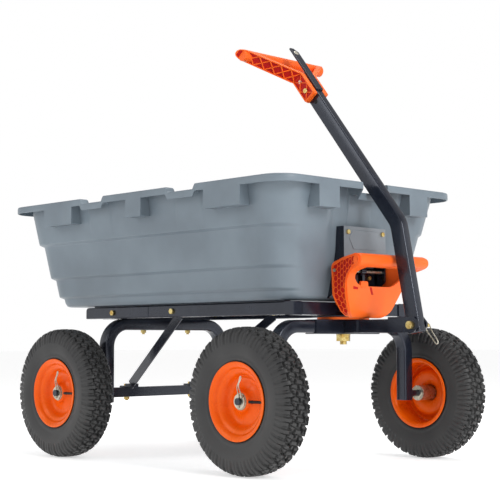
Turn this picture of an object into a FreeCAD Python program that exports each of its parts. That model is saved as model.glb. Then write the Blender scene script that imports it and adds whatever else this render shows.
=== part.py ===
"""Garden dump cart: steel undercarriage, tipping tub, steered front axle and tow handle.

Frame: +X forward (the end that is pulled), +Y to the cart's left, +Z up, ground at z = 0.
The origin is on the ground under the middle of the cart's bounding box. Millimetres.
Station x values are measured from a datum midway along the wheelbase, and `datum` puts
that datum into the frame.
"""
import FreeCAD, Part
import math
import os
import Sketcher

V = FreeCAD.Vector
doc = FreeCAD.newDocument("garden_cart")

# ---------------------------------------------------------------- driving dimensions
SIZES = {
    "datum": 6.25,
    # wheels
    "front_axle_x": 345, "rear_axle_x": -340, "axle_z": 165, "half_track": 318.6,
    "tyre_radius": 165, "tyre_half_width": 42, "rim_radius": 88, "rim_half_width": 38,
    "spindle_radius": 8, "axle_end": 352, "pin_inset": 4, "hub_radius": 19, "hub_inner": 37,
    "hub_outer": 24, "valve_out": 23, "valve_start": 27,
    "washer_radius": 17, "washer_thick": 3, "keeper_gap": 0.3,
    # undercarriage
    "tube": 30, "tube_wall": 2, "rail_out": 200, "rail_z": 358, "rail_rear": -412,
    "rail_front": 372, "rail_joint": -146, "rear_bolt_x": -293, "mid_bolt_x": -52,
    "rear_frame_x": -312, "rear_leg_y": 205, "rear_leg_foot": 136, "frame_bend": 60,
    "rear_bolt_y": 80, "axle_bar": 26, "axle_bar_z": 148, "brace_y": 115,
    "front_leg_y": 230, "front_leg_foot": 149, "front_beam_z": 316.5,
    "kingpin_radius": 8, "thrust_radius": 62.5, "thrust_z": 348.3, "plate_z": 354,
    # drawbar and tow handle
    "clevis_x": 564, "clevis_z": 333, "clevis_gap": 12.5, "clevis_plate": 5.5,
    "tongue_end": 536, "handle_depth": 36, "handle_half": 12.2, "handle_foot_x": 569,
    "handle_foot_z": 316, "knee_x": 519, "knee_z": 570, "knee_bend": 60,
    "upper_lean": 38, "grip_x": 250, "grip_z": 914.4, "tube_past_grip": 52,
    "hitch_length": 137, "hitch_hole": 6, "lock_pin_up": 32,
    "grip_bar_up": 142, "grip_bar_back": 32, "grip_bar_half": 150, "grip_bar_radius": 16,
    # tub
    "hinge_x": -398, "hinge_z": 373, "hinge_radius": 11,
    "rim_rear": -612, "rim_front": 451, "rim_half": 318, "rim_top": 668,
    "skirt": 18, "rim_corner": 60, "floor_z": 392, "floor_rear": -519, "floor_front": 362,
    "floor_half": 225, "wall": 5, "step": 9, "side_slope": 0.154, "rear_slope": 0.154,
    "front_slope": 0.245, "wall_corner": 75,
    # tipping latch
    "lever_x": 405, "lever_z": 461, "lever_pin_radius": 4,
    "lever_bar_x": 495, "lever_bar_z": 481, "lever_bar_radius": 15, "lever_bar_half": 122,
}
sheet = doc.addObject("Spreadsheet::Sheet", "dims")
for row, (alias, size) in enumerate(SIZES.items(), 1):
    sheet.set(f"A{row}", alias)
    sheet.set(f"B{row}", str(size))
    sheet.setAlias(f"B{row}", alias)
doc.recompute()


def size(alias):
    """The value that the sheet holds under an alias."""
    return float(sheet.get(alias))


def expr(term):
    """A FreeCAD expression in which every alias is looked up in the sheet."""
    words = []
    word = ""
    for letter in str(term) + " ":
        if letter.isalnum() or letter in "_.":
            word += letter
            continue
        words.append("dims." + word if word in SIZES else word)
        words.append(letter)
        word = ""
    return "".join(words).strip()


helper_cells = {}


def value(term):
    """The number that such an expression stands for."""
    if isinstance(term, (int, float)):
        return float(term)
    if term not in helper_cells:
        cell = f"D{len(helper_cells) + 1}"
        sheet.set(cell, "=" + expr(term).replace("dims.", ""))
        sheet.recompute()
        helper_cells[term] = float(sheet.get(cell))
    return helper_cells[term]


nodes = {}


def place(obj, x, y, z):
    """Bind an object's position. x is a station, so the datum is added."""
    obj.setExpression("Placement.Base.x", expr(f"datum + ({x})"))
    obj.setExpression("Placement.Base.y", expr(y))
    obj.setExpression("Placement.Base.z", expr(z))
    return obj


def scratch_name(kind):
    return f"{kind}_{len(doc.Objects)}"


# ---------------------------------------------------------------- bound primitives
def box(x, y, z):
    """A box from (low, high) pairs of expressions."""
    obj = doc.addObject("Part::Box", scratch_name("box"))
    for prop, (low, high) in zip(("Length", "Width", "Height"), (x, y, z)):
        obj.setExpression(prop, expr(f"({high}) - ({low})"))
    return place(obj, x[0], y[0], z[0])


AXIS_TURN = {
    "x": FreeCAD.Rotation(V(0, 1, 0), 90),
    "y": FreeCAD.Rotation(V(1, 0, 0), -90),
    "z": FreeCAD.Rotation(),
}


def rod(axis, start, radius, length):
    """A cylinder from a start point, running along +axis."""
    obj = doc.addObject("Part::Cylinder", scratch_name("rod"))
    obj.Placement = FreeCAD.Placement(V(), AXIS_TURN[axis])
    obj.setExpression("Radius", expr(radius))
    obj.setExpression("Height", expr(length))
    return place(obj, *start)


def hexagon(axis, start, across, length):
    """A hexagonal head or nut, `across` the flats, running along +axis."""
    obj = doc.addObject("Part::Prism", scratch_name("hexagon"))
    obj.Polygon = 6
    obj.Placement = FreeCAD.Placement(V(), AXIS_TURN[axis])
    obj.setExpression("Circumradius", expr(f"({across}) / sqrt(3)"))
    obj.setExpression("Height", expr(length))
    return place(obj, *start)


def fuse(*parts):
    obj = doc.addObject("Part::MultiFuse", scratch_name("fuse"))
    obj.Shapes = list(parts)
    return obj


def cut(base, *tools):
    obj = doc.addObject("Part::Cut", scratch_name("cut"))
    obj.Base = base
    obj.Tool = tools[0] if len(tools) == 1 else fuse(*tools)
    return obj


def group(*parts):
    """Separate solids that share one node, such as a set of bolts."""
    obj = doc.addObject("Part::Compound", scratch_name("group"))
    obj.Links = list(parts)
    return obj


def shaped(shape):
    """A shape made in code, for outlines that no primitive gives."""
    obj = doc.addObject("Part::Feature", scratch_name("shaped"))
    obj.Shape = shape
    obj.Placement = FreeCAD.Placement(V(size("datum"), 0, 0), FreeCAD.Rotation())
    return obj


def node(label, obj):
    obj.Label = label
    nodes[label] = obj
    return obj


def both_sides(make):
    """A part and its mirror image: make(side) is called with +1 (left) and -1 (right)."""
    return [make(side) for side in (1, -1)]


# ---------------------------------------------------------------- shapes made in code
def prism(points, axis, low, high):
    """A polygon extruded along an axis. Points are (x, z), (y, z) or (x, y) pairs."""
    lift = {
        "y": lambda a, b: V(a, low, b),
        "x": lambda a, b: V(low, a, b),
        "z": lambda a, b: V(a, b, low),
    }[axis]
    way = {"y": V(0, 1, 0), "x": V(1, 0, 0), "z": V(0, 0, 1)}[axis]
    corners = [lift(a, b) for a, b in points]
    face = Part.Face(Part.makePolygon(corners + corners[:1]))
    return face.extrude(way * (high - low))


def rounded_wire(rear, front, half, corner, z):
    """A rectangle with rounded corners, seen from above."""
    k = corner * (1 - math.sqrt(0.5))
    edges = []
    corners = [
        (front, half, -1, -1, V(front, half - corner, z), V(front - corner, half, z)),
        (rear, half, 1, -1, V(rear + corner, half, z), V(rear, half - corner, z)),
        (rear, -half, 1, 1, V(rear, -half + corner, z), V(rear + corner, -half, z)),
        (front, -half, -1, 1, V(front - corner, -half, z), V(front, -half + corner, z)),
    ]
    last = V(front, -half + corner, z)
    for x, y, into_x, into_y, start, end in corners:
        edges.append(Part.makeLine(last, start))
        middle = V(x + into_x * k, y + into_y * k, z)
        edges.append(Part.Arc(start, middle, end).toShape())
        last = end
    return Part.Wire(edges)


def rectangle_wire(centre, along, across):
    """A rectangle from its centre and two half-side vectors."""
    corners = [
        centre + along + across,
        centre - along + across,
        centre - along - across,
        centre + along - across,
    ]
    return Part.makePolygon(corners + corners[:1])


# ---------------------------------------------------------------- bent square tube
def plane_of(body, role):
    for feature in body.Origin.OriginFeatures:
        if feature.Role == role:
            return feature
    raise ValueError(role)


def new_sketch(body, role, name):
    sketch = body.newObject("Sketcher::SketchObject", name)
    sketch.AttachmentSupport = (plane_of(body, role), "")
    sketch.MapMode = "FlatFace"
    return sketch


ORIGIN = (-1, 1)


def pin_point(sketch, line, end, right, up):
    """Hold one end of a sketch line at a bound distance from the origin."""
    for kind, term in (("DistanceX", right), ("DistanceY", up)):
        index = sketch.addConstraint(
            Sketcher.Constraint(kind, *ORIGIN, line, end, value(term))
        )
        sketch.setExpression(f"Constraints[{index}]", expr(term))


def polyline(sketch, points, closed):
    """Straight lines through bound points. Each line's ends are held on its own."""
    stops = points + points[:1] if closed else points
    for (x1, y1), (x2, y2) in zip(stops, stops[1:]):
        line = sketch.addGeometry(
            Part.LineSegment(V(value(x1), value(y1), 0), V(value(x2), value(y2), 0)), False
        )
        pin_point(sketch, line, 1, x1, y1)
        pin_point(sketch, line, 2, x2, y2)


def bent_tube(label, half_leg, foot, top, bend, station):
    """An inverted U of square tube: two legs and a beam, with round bends."""
    body = doc.addObject("PartDesign::Body", label)
    path = new_sketch(body, "YZ_Plane", label + "_path")
    beam = f"({top}) - tube / 2"
    leg_top = f"({beam}) - ({bend})"
    inner = f"({half_leg}) - ({bend})"
    runs = [
        ((f"-({half_leg})", foot), (f"-({half_leg})", leg_top)),
        ((f"-({inner})", beam), (inner, beam)),
        ((half_leg, leg_top), (half_leg, foot)),
    ]
    for start, end in runs:
        polyline(path, [start, end], False)
    radius = value(bend)
    centre_z = value(leg_top)
    centre_y = value(inner)
    for side, low, high in ((-1, math.pi / 2, math.pi), (1, 0, math.pi / 2)):
        circle = Part.Circle(V(side * centre_y, centre_z, 0), V(0, 0, 1), radius)
        arc = path.addGeometry(Part.ArcOfCircle(circle, low, high), False)
        index = path.addConstraint(Sketcher.Constraint("Radius", arc, radius))
        path.setExpression(f"Constraints[{index}]", expr(bend))
        leg, leg_end = ((0, 2) if side < 0 else (2, 1))
        beam_end = 1 if side < 0 else 2
        at_leg, at_beam = ((2, 1) if side < 0 else (1, 2))
        path.addConstraint(Sketcher.Constraint("Coincident", arc, at_leg, leg, leg_end))
        path.addConstraint(Sketcher.Constraint("Coincident", arc, at_beam, 1, beam_end))
    section = new_sketch(body, "XY_Plane", label + "_section")
    section.setExpression("AttachmentOffset.Base.y", expr(f"-({half_leg})"))
    section.setExpression("AttachmentOffset.Base.z", expr(foot))
    for inset in ("0", "tube_wall"):
        edge = f"tube / 2 - {inset}"
        polyline(
            section,
            [(edge, edge), (f"-({edge})", edge), (f"-({edge})", f"-({edge})"),
             (edge, f"-({edge})")],
            True,
        )
    doc.recompute()
    pipe = body.newObject("PartDesign::AdditivePipe", label + "_sweep")
    pipe.Profile = section
    pipe.Spine = path
    pipe.Transition = "Transformed"
    body.Tip = pipe
    place(body, station, "0", "0")
    return body


# ---------------------------------------------------------------- bolts
BOLT = "4"
HEAD = "13"


def side_bolt(x, z, side, length):
    """A hex bolt whose head is on the outer side of a rail, pointing inward along Y."""
    head = "5.3"
    nut = "6"
    out = "rail_out"
    if side > 0:
        return fuse(
            hexagon("y", (x, out, z), HEAD, head),
            rod("y", (x, f"{out} - ({length})", z), BOLT, length),
            hexagon("y", (x, f"{out} - tube - {nut}", z), HEAD, nut),
        )
    return fuse(
        hexagon("y", (x, f"-({out}) - {head}", z), HEAD, head),
        rod("y", (x, f"-({out})", z), BOLT, length),
        hexagon("y", (x, f"-({out}) + tube", z), HEAD, nut),
    )


# ---------------------------------------------------------------- undercarriage
def make_rails():
    half = "tube / 2"
    sections = {"rear_rail": ("rail_rear", "rail_joint"), "front_rail": ("rail_joint", "rail_front")}
    for kind, (start, end) in sections.items():
        for side, word in ((1, "left"), (-1, "right")):
            low = "rail_out - tube" if side > 0 else "-rail_out"
            high = "rail_out" if side > 0 else "-rail_out + tube"
            outer = box((start, end), (low, high), ("rail_z", "rail_z + tube"))
            hollow = box(
                (start, end),
                (f"{low} + tube_wall", f"{high} - tube_wall"),
                ("rail_z + tube_wall", "rail_z + tube - tube_wall"),
            )
            tools = [hollow]
            bolt_x = "rear_bolt_x" if kind == "rear_rail" else "mid_bolt_x"
            tools.append(rod("y", (bolt_x, low, f"rail_z + {half}"), "4.2", "tube"))
            if kind == "rear_rail":
                rounded = doc.addObject("Part::Fillet", scratch_name("rounded"))
                rounded.Base = outer
                doc.recompute()
                rounded.Edges = rear_top_edge(outer.Shape, 8.0)
                outer = rounded
            node(f"{kind}_{word}", cut(outer, *tools))


def rear_top_edge(shape, radius):
    """The cross edge at the rear top of a rail, as a fillet list."""
    picked = []
    for index, edge in enumerate(shape.Edges, 1):
        mid = edge.BoundBox.Center
        across = edge.BoundBox.YLength > 1
        at_rear = abs(mid.x - shape.BoundBox.XMin) < 0.01
        at_top = abs(mid.z - shape.BoundBox.ZMax) < 0.01
        if across and at_rear and at_top:
            picked.append((index, radius, radius))
    return picked


def make_rail_sleeves():
    """Inner tubes that join the rear and front rail sections."""
    def sleeve(side):
        gap = "(tube_wall + 0.2)"
        low = f"rail_out - tube + {gap}" if side > 0 else f"-rail_out + {gap}"
        high = f"rail_out - {gap}" if side > 0 else f"-rail_out + tube - {gap}"
        outer = box(("-320", "-25"), (low, high),
                    (f"rail_z + {gap}", f"rail_z + tube - {gap}"))
        hollow = box(("-320", "-25"), (f"{low} + 2", f"{high} - 2"),
                     (f"rail_z + {gap} + 2", f"rail_z + tube - {gap} - 2"))
        holes = [rod("y", (x, low, "rail_z + tube / 2"), "4.2", "tube")
                 for x in ("rear_bolt_x", "mid_bolt_x")]
        return cut(outer, hollow, *holes)
    node("rail_sleeves", group(*both_sides(sleeve)))


def make_cross_members():
    between = ("-rail_out + tube", "rail_out - tube")
    high = ("rail_z", "rail_z + tube")
    inside = ("rail_z + tube_wall", "rail_z + tube - tube_wall")
    front = box(("rail_front - 50", "rail_front"), between, high)
    front_hollow = box(("rail_front - 48", "rail_front - 2"), between, inside)
    kingpin_hole = rod("z", ("front_axle_x", "0", "rail_z - 1"), "kingpin_radius + 0.1", "tube + 2")
    node("front_cross_member", cut(front, front_hollow, kingpin_hole))

    rear = box(("rear_frame_x - 11.5", "rear_frame_x + 11.5"), between, high)
    rear_hollow = box(("rear_frame_x - 9.5", "rear_frame_x + 9.5"), between, inside)
    holes = [rod("z", ("rear_frame_x", f"{side} * rear_bolt_y", "rail_z - 1"), "4.2", "tube + 2")
             for side in (1, -1)]
    node("rear_cross_member", cut(rear, rear_hollow, *holes))

    tube = rod("y", ("hinge_x", "-rail_out + tube", "hinge_z"), "hinge_radius",
               "2 * (rail_out - tube)")
    bore = rod("y", ("hinge_x", "-rail_out + tube", "hinge_z"), "hinge_radius - 2",
               "2 * (rail_out - tube)")
    node("hinge_tube", cut(tube, bore))


def make_corner_brackets():
    """Angle plates that wrap the front corners of the rails."""
    def bracket(side):
        low = "rail_out" if side > 0 else "-rail_out - 3"
        high = "rail_out + 3" if side > 0 else "-rail_out"
        flank = box(("rail_front - 26", "rail_front + 3"), (low, high),
                    ("rail_z - 1", "rail_z + tube + 1"))
        face_low = "rail_out - 26" if side > 0 else "-rail_out"
        face_high = "rail_out" if side > 0 else "-rail_out + 26"
        face = box(("rail_front", "rail_front + 3"), (face_low, face_high),
                   ("rail_z - 1", "rail_z + tube + 1"))
        return fuse(flank, face)
    node("corner_brackets", group(*both_sides(bracket)))


def make_rear_frame():
    body = bent_tube("rear_axle_frame_tube", "rear_leg_y", "rear_leg_foot", "rail_z",
                     "frame_bend", "rear_frame_x")
    holes = [rod("z", ("rear_frame_x", f"{side} * rear_bolt_y", "rail_z - tube - 1"),
                 "4.2", "tube + 2") for side in (1, -1)]
    node("rear_axle_frame", cut(body, *holes))

    half = "axle_bar / 2"
    bar = box((f"rear_axle_x - {half}", f"rear_axle_x + {half}"),
              ("-rear_leg_y - tube / 2", "rear_leg_y + tube / 2"),
              ("axle_bar_z", "axle_bar_z + axle_bar"))
    ends = rod("y", ("rear_axle_x", "-axle_end", "axle_z"), "spindle_radius", "2 * axle_end")
    bolt_holes = [rod("z", ("rear_axle_x", f"{side} * brace_y", "axle_bar_z - 1"), "4.2",
                      "axle_bar + 2") for side in (1, -1)]
    pin_holes = [rod("z", ("rear_axle_x", f"{side} * (axle_end - pin_inset)", "axle_z - 12"), "2.2", "24")
                 for side in (1, -1)]
    node("rear_axle", cut(fuse(bar, ends), *bolt_holes, *pin_holes))


def make_braces():
    """Flat diagonal straps from the axle bar up to the inner faces of the rails."""
    for side, word in ((1, "left"), (-1, "right")):
        foot_top = size("axle_bar_z") + size("axle_bar")
        foot_x = size("rear_axle_x")
        foot_y = side * size("brace_y")
        top_x = size("mid_bolt_x")
        top_z = size("rail_z") + size("tube") / 2
        thick = 4.0
        rail_in = side * (size("rail_out") - size("tube"))
        low = V(foot_x + 18, foot_y, foot_top + 6)
        high = V(top_x - 4, rail_in - side * thick / 2, top_z - 8)
        way = high - low
        way.normalize()
        wide = V(-way.z, 0, way.x)
        wide.normalize()
        strap = Part.makeLoft(
            [rectangle_wire(low, wide * 12.5, V(0, thick / 2, 0)),
             rectangle_wire(high, wide * 12.5, V(0, thick / 2, 0))], True, True)
        foot = Part.makeBox(46, 26, thick, V(foot_x - 15, foot_y - 13, foot_top))
        heel = Part.makeBox(26, 26, 10, V(foot_x + 9, foot_y - 13, foot_top))
        ear = Part.makeBox(34, thick, 26, V(top_x - 20, min(rail_in, rail_in - side * thick),
                                            top_z - 13))
        brace = strap.fuse([foot, heel, ear])
        bolt_room = Part.makeCylinder(4.2, 40, V(foot_x, foot_y, foot_top - 10), V(0, 0, 1))
        top_room = Part.makeCylinder(4.2, 60, V(top_x, rail_in - 30, top_z), V(0, 1, 0))
        node(f"brace_{word}", shaped(brace.cut([bolt_room, top_room]).removeSplitter()))


def make_frame_fasteners():
    middle = "rail_z + tube / 2"
    side_bolts = []
    for side in (1, -1):
        side_bolts.append(side_bolt("rear_bolt_x", middle, side, "42"))
    for side in (1, -1):
        side_bolts.append(mid_bolt(side, middle))
    node("rail_bolts", group(*side_bolts))

    def frame_bolt(side):
        y = f"{side} * rear_bolt_y"
        top = "rail_z + tube"
        return fuse(
            rod("z", ("rear_frame_x", y, top), "9", "3"),
            rod("z", ("rear_frame_x", y, "rail_z - tube - 11"), BOLT, "2 * tube + 11"),
            hexagon("z", ("rear_frame_x", y, "rail_z - tube - 7"), HEAD, "7"),
        )
    node("rear_frame_bolts", group(*both_sides(frame_bolt)))

    def axle_bolt(side):
        y = f"{side} * brace_y"
        foot_top = "axle_bar_z + axle_bar + 4"
        return fuse(
            hexagon("z", ("rear_axle_x", y, foot_top), HEAD, "5.3"),
            rod("z", ("rear_axle_x", y, "axle_bar_z - 10"), BOLT, "axle_bar + 14"),
            hexagon("z", ("rear_axle_x", y, "axle_bar_z - 7"), HEAD, "7"),
        )
    node("axle_bolts", group(*both_sides(axle_bolt)))


def mid_bolt(side, z):
    """The bolt that holds a rail's splice and the top of a brace."""
    head = "5.3"
    nut = "6"
    inner = "rail_out - tube - 4"
    if side > 0:
        return fuse(
            hexagon("y", ("mid_bolt_x", "rail_out", z), HEAD, head),
            rod("y", ("mid_bolt_x", f"{inner} - 9", z), BOLT, "tube + 13"),
            hexagon("y", ("mid_bolt_x", f"{inner} - {nut}", z), HEAD, nut),
        )
    return fuse(
        hexagon("y", ("mid_bolt_x", f"-rail_out - {head}", z), HEAD, head),
        rod("y", ("mid_bolt_x", "-rail_out", z), BOLT, "tube + 13"),
        hexagon("y", ("mid_bolt_x", f"-({inner})", z), HEAD, nut),
    )


def make_kingpin_group():
    hole = rod("z", ("front_axle_x", "0", "thrust_z - 1"), "kingpin_radius + 0.1", "20")
    plate = box(("front_axle_x - 55", "front_axle_x + 55"), ("-55", "55"), ("plate_z", "rail_z"))
    node("kingpin_plate", cut(plate, hole))
    disc = rod("z", ("front_axle_x", "0", "thrust_z"), "thrust_radius", "plate_z - thrust_z")
    disc_hole = rod("z", ("front_axle_x", "0", "thrust_z - 1"), "kingpin_radius + 0.1", "20")
    node("thrust_disc", cut(disc, disc_hole))
    top = "rail_z + tube"
    pin = fuse(
        rod("z", ("front_axle_x", "0", top), "14", "3"),
        rod("z", ("front_axle_x", "0", "289"), "kingpin_radius", f"{top} - 289 + 1"),
    )
    nut = hexagon("z", ("front_axle_x", "0", "297"), "30", "14")
    collar = rod("z", ("front_axle_x", "0", "311"), "17", "2.7")
    nut_hole = rod("z", ("front_axle_x", "0", "296"), "kingpin_radius", "20")
    node("kingpin", group(pin, cut(fuse(nut, collar), nut_hole)))


def make_striker():
    """The catch on the front cross member that the tub's latch hook faces."""
    plate = box(("rail_front", "rail_front + 3"), ("-22", "22"), ("rail_z + 2", "rail_z + 28"))
    lip = box(("rail_front + 3", "rail_front + 14"), ("-14", "14"), ("rail_z + 12", "rail_z + 16"))
    node("latch_striker", fuse(plate, lip))


# ---------------------------------------------------------------- front axle and drawbar
def make_front_axle():
    body = bent_tube("front_axle_frame_tube", "front_leg_y", "front_leg_foot",
                     "front_beam_z + tube", "frame_bend", "front_axle_x")
    hole = rod("z", ("front_axle_x", "0", "front_beam_z - 1"), "kingpin_radius + 0.05", "tube + 2")
    node("front_axle_frame", cut(body, hole))

    def spindle(side):
        leg = "front_leg_y + tube / 2"
        start = leg if side > 0 else "-axle_end"
        shaft = rod("y", ("front_axle_x", start, "axle_z"), "spindle_radius",
                    f"axle_end - ({leg})")
        collar_y = leg if side > 0 else f"-({leg}) - 6"
        collar = rod("y", ("front_axle_x", collar_y, "axle_z"), "13", "6")
        hole = rod("z", ("front_axle_x", f"{side} * (axle_end - pin_inset)", "axle_z - 12"), "2.2", "24")
        return cut(fuse(shaft, collar), hole)
    node("front_spindles", group(*both_sides(spindle)))

    sleeve = box(("front_axle_x - 18", "front_axle_x + 18"), ("-113", "113"),
                 ("front_beam_z - 2.5", "thrust_z - 0.3"))
    beam_room = box(("front_axle_x - tube / 2", "front_axle_x + tube / 2"), ("-113", "113"),
                    ("front_beam_z", "front_beam_z + tube"))
    pin_room = rod("z", ("front_axle_x", "0", "front_beam_z - 4"), "kingpin_radius + 0.05",
                   "tube + 8")
    node("steering_saddle", cut(sleeve, beam_room, pin_room))


def make_drawbar():
    tongue = box(("front_axle_x + 18", "tongue_end"), ("-clevis_gap", "clevis_gap"),
                 ("front_beam_z", "front_beam_z + 31"))
    hollow = box(("front_axle_x + 18", "tongue_end"), ("-clevis_gap + 2", "clevis_gap - 2"),
                 ("front_beam_z + 2", "front_beam_z + 29"))
    gusset_low = box(("front_axle_x + 18", "front_axle_x + 58"), ("clevis_gap", "clevis_gap + 4"),
                     ("front_beam_z", "front_beam_z + 31"))
    gusset_other = box(("front_axle_x + 18", "front_axle_x + 58"),
                       ("-clevis_gap - 4", "-clevis_gap"), ("front_beam_z", "front_beam_z + 31"))
    node("drawbar", fuse(cut(tongue, hollow), gusset_low, gusset_other))

    x_pin = size("clevis_x")
    z_pin = size("clevis_z")
    outline = [
        (x_pin - 66, z_pin - 17), (x_pin + 8, z_pin - 17), (x_pin + 22, z_pin - 4),
        (x_pin + 22, z_pin + 6), (x_pin + 10, z_pin + 19), (x_pin - 66, z_pin + 19),
    ]
    plates = []
    for side in (1, -1):
        inner = side * size("clevis_gap")
        outer = side * (size("clevis_gap") + size("clevis_plate"))
        plate = prism(outline, "y", min(inner, outer), max(inner, outer))
        hole = Part.makeCylinder(5.05, 60, V(x_pin, -30, z_pin), V(0, 1, 0))
        plates.append(plate.cut(hole))
    node("clevis_plates", shaped(Part.makeCompound(plates)))


def make_handle_pin():
    out = "clevis_gap + clevis_plate"
    pin = fuse(
        rod("y", ("clevis_x", f"-({out}) - 0.3 - 6", "clevis_z"), "9", "6"),
        rod("y", ("clevis_x", f"-({out}) - 1", "clevis_z"), "5", "2 * clevis_gap + 40"),
    )
    clip_hole = rod("z", ("clevis_x", "40", "clevis_z - 10"), "1.7", "20")
    node("handle_pin", cut(pin, clip_hole))

    x_pin = size("clevis_x")
    z_pin = size("clevis_z")
    wire = 1.5
    legs = [V(x_pin, 40, z_pin + 9), V(x_pin, 40, z_pin - 12), V(x_pin + 12, 42, z_pin - 26),
            V(x_pin + 28, 42, z_pin - 44), V(x_pin + 34, 42, z_pin - 38),
            V(x_pin + 22, 42, z_pin - 20), V(x_pin + 9, 47.5, z_pin - 10),
            V(x_pin + 3, 48, z_pin + 2)]
    node("handle_clip", shaped(wire_through(legs, wire)))


def wire_through(points, radius):
    """Round wire along straight runs, with balls at the turns."""
    pieces = []
    for start, end in zip(points, points[1:]):
        run = end - start
        pieces.append(Part.makeCylinder(radius, run.Length, start, run))
    for point in points:
        pieces.append(Part.makeSphere(radius, point))
    return pieces[0].fuse(pieces[1:]).removeSplitter()


# ---------------------------------------------------------------- tow handle
def on_handle(obj):
    """Place an object made in the upper handle's own axes: local Z runs up the tube from
    the grip pivot, local X points out of the tube's front face."""
    turn = FreeCAD.Rotation(V(0, 1, 0), -size("upper_lean"))
    obj.Placement = FreeCAD.Placement(
        V(size("datum") + size("grip_x"), 0, size("grip_z")), turn
    ) * obj.Placement
    return obj


def local_feature(shape):
    obj = doc.addObject("Part::Feature", scratch_name("shaped"))
    obj.Shape = shape
    return on_handle(obj)


def make_handle_tube():
    """Rectangular tube with one knee, swept and then drilled."""
    lean = math.radians(size("upper_lean"))
    up = V(-math.sin(lean), 0, math.cos(lean))
    foot = V(size("handle_foot_x"), 0, size("handle_foot_z"))
    knee = V(size("knee_x"), 0, size("knee_z"))
    pivot = V(size("grip_x"), 0, size("grip_z"))
    top = pivot + up * size("tube_past_grip")
    lower = knee - foot
    lower.normalize()
    upper = top - knee
    upper.normalize()
    turn = lower.getAngle(upper)
    radius = size("knee_bend")
    tangent = radius * math.tan(turn / 2)
    start = knee - lower * tangent
    end = knee + upper * tangent
    into = (upper - lower)
    into.normalize()
    middle = knee + into * (radius / math.cos(turn / 2) - radius)
    spine = Part.Wire([
        Part.makeLine(foot, start),
        Part.Arc(start, middle, end).toShape(),
        Part.makeLine(end, top),
    ])
    across = V(lower.z, 0, -lower.x)

    def swept(inset):
        section = rectangle_wire(foot, across * (size("handle_depth") / 2 - inset),
                                 V(0, size("handle_half") - inset, 0))
        return Part.Wire(spine.Edges).makePipeShell([section], True, True)
    tube = swept(0).cut(swept(2))
    pin_room = Part.makeCylinder(5.05, 60, V(size("clevis_x"), -30, size("clevis_z")), V(0, 1, 0))
    grip_room = Part.makeCylinder(4.05, 60, pivot + V(0, -30, 0), V(0, 1, 0))
    slot = lock_slot()
    slot.Placement = FreeCAD.Placement(pivot, FreeCAD.Rotation(V(0, 1, 0), -size("upper_lean")))
    node("handle_tube", shaped(tube.cut([pin_room, grip_room, slot])))


def lock_slot():
    """The arc that the locking pin follows out of the tube as the grip folds."""
    reach = size("lock_pin_up")
    ring = Part.makeCylinder(reach + 5.5, 60, V(0, -30, 0), V(0, 1, 0))
    core = Part.makeCylinder(reach - 5.5, 62, V(0, -31, 0), V(0, 1, 0))
    keep = prism([(-60, 0), (0, 0), (0, reach + 12), (-60, reach + 12)], "y", -30, 30)
    start = Part.makeCylinder(5.5, 60, V(0, -30, reach), V(0, 1, 0))
    return ring.cut(core).common(keep).fuse(start)


def make_hitch():
    """The steel ear on the handle's front face, drilled at its tip for a hitch pin."""
    half = size("handle_half")
    tip = size("hitch_length")
    shoulder = 12
    outline = [(half, -shoulder), (half, tip - shoulder), (half - shoulder, tip), (-half, tip),
               (-half, -shoulder)]
    face = size("handle_depth") / 2
    plate = Part.Face(Part.makePolygon([V(face, y, z) for y, z in outline + outline[:1]]))
    ear = plate.extrude(V(5, 0, 0))
    hole = Part.makeCylinder(size("hitch_hole"), 20, V(face - 5, 0, tip - 17), V(1, 0, 0))
    node("hitch_ear", local_feature(ear.cut(hole)))


def make_grip():
    """D-shaped pull grip: legs that hug the tube, arms that spread, and a round bar."""
    inner = size("handle_half") + 0.6
    thick = 11.0
    bar_z = size("grip_bar_up")
    bar_x = -size("grip_bar_back")
    reach = size("grip_bar_half")
    tip_half = 9.0
    span = reach - tip_half
    pieces = [Part.makeCylinder(size("grip_bar_radius"), 2 * span, V(bar_x, -span, bar_z),
                                V(0, 1, 0))]
    for side in (1, -1):
        leg_low = min(side * inner, side * (inner + thick))
        pieces.append(Part.makeBox(36, thick, 70, V(-18, leg_low, -24)))
        root = rectangle_wire(V(0, side * (inner + thick / 2), 46), V(18, 0, 0),
                              V(0, thick / 2, 0))
        tip = rectangle_wire(V(bar_x, side * span, bar_z + 8), V(16, 0, 0), V(0, tip_half, 0))
        pieces.append(Part.makeLoft([root, tip], True, True))
    grip = pieces[0].fuse(pieces[1:])
    bolt_room = Part.makeCylinder(4.05, 90, V(0, -45, 0), V(0, 1, 0))
    lock_room = Part.makeCylinder(5.05, 90, V(0, -45, size("lock_pin_up")), V(0, 1, 0))
    node("grip", local_feature(grip.cut([bolt_room, lock_room])))

    outer = inner + thick
    shank = Part.makeCylinder(4, 2 * outer + 10, V(0, -outer, 0), V(0, 1, 0))
    head = Part.makeCylinder(6.5, 5, V(0, -outer - 5.3, 0), V(0, 1, 0))
    nut = Part.makeCylinder(7, 7, V(0, outer + 0.3, 0), V(0, 1, 0))
    bolt = shank.fuse([head, nut, Part.makeCylinder(4, 1, V(0, -outer - 0.5, 0), V(0, 1, 0))])
    node("grip_bolt", local_feature(bolt))

    up = size("lock_pin_up")
    shank = Part.makeCylinder(5, 2 * outer + 8, V(0, -outer - 2, up), V(0, 1, 0))
    button = Part.makeCylinder(8, 4, V(0, outer + 1.5, up), V(0, 1, 0))
    eye = Part.makeTorus(6.5, 1.2, V(0, outer + 11.5, up), V(1, 0, 0))
    node("lock_pin", local_feature(shank.fuse([button, eye])))


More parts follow.
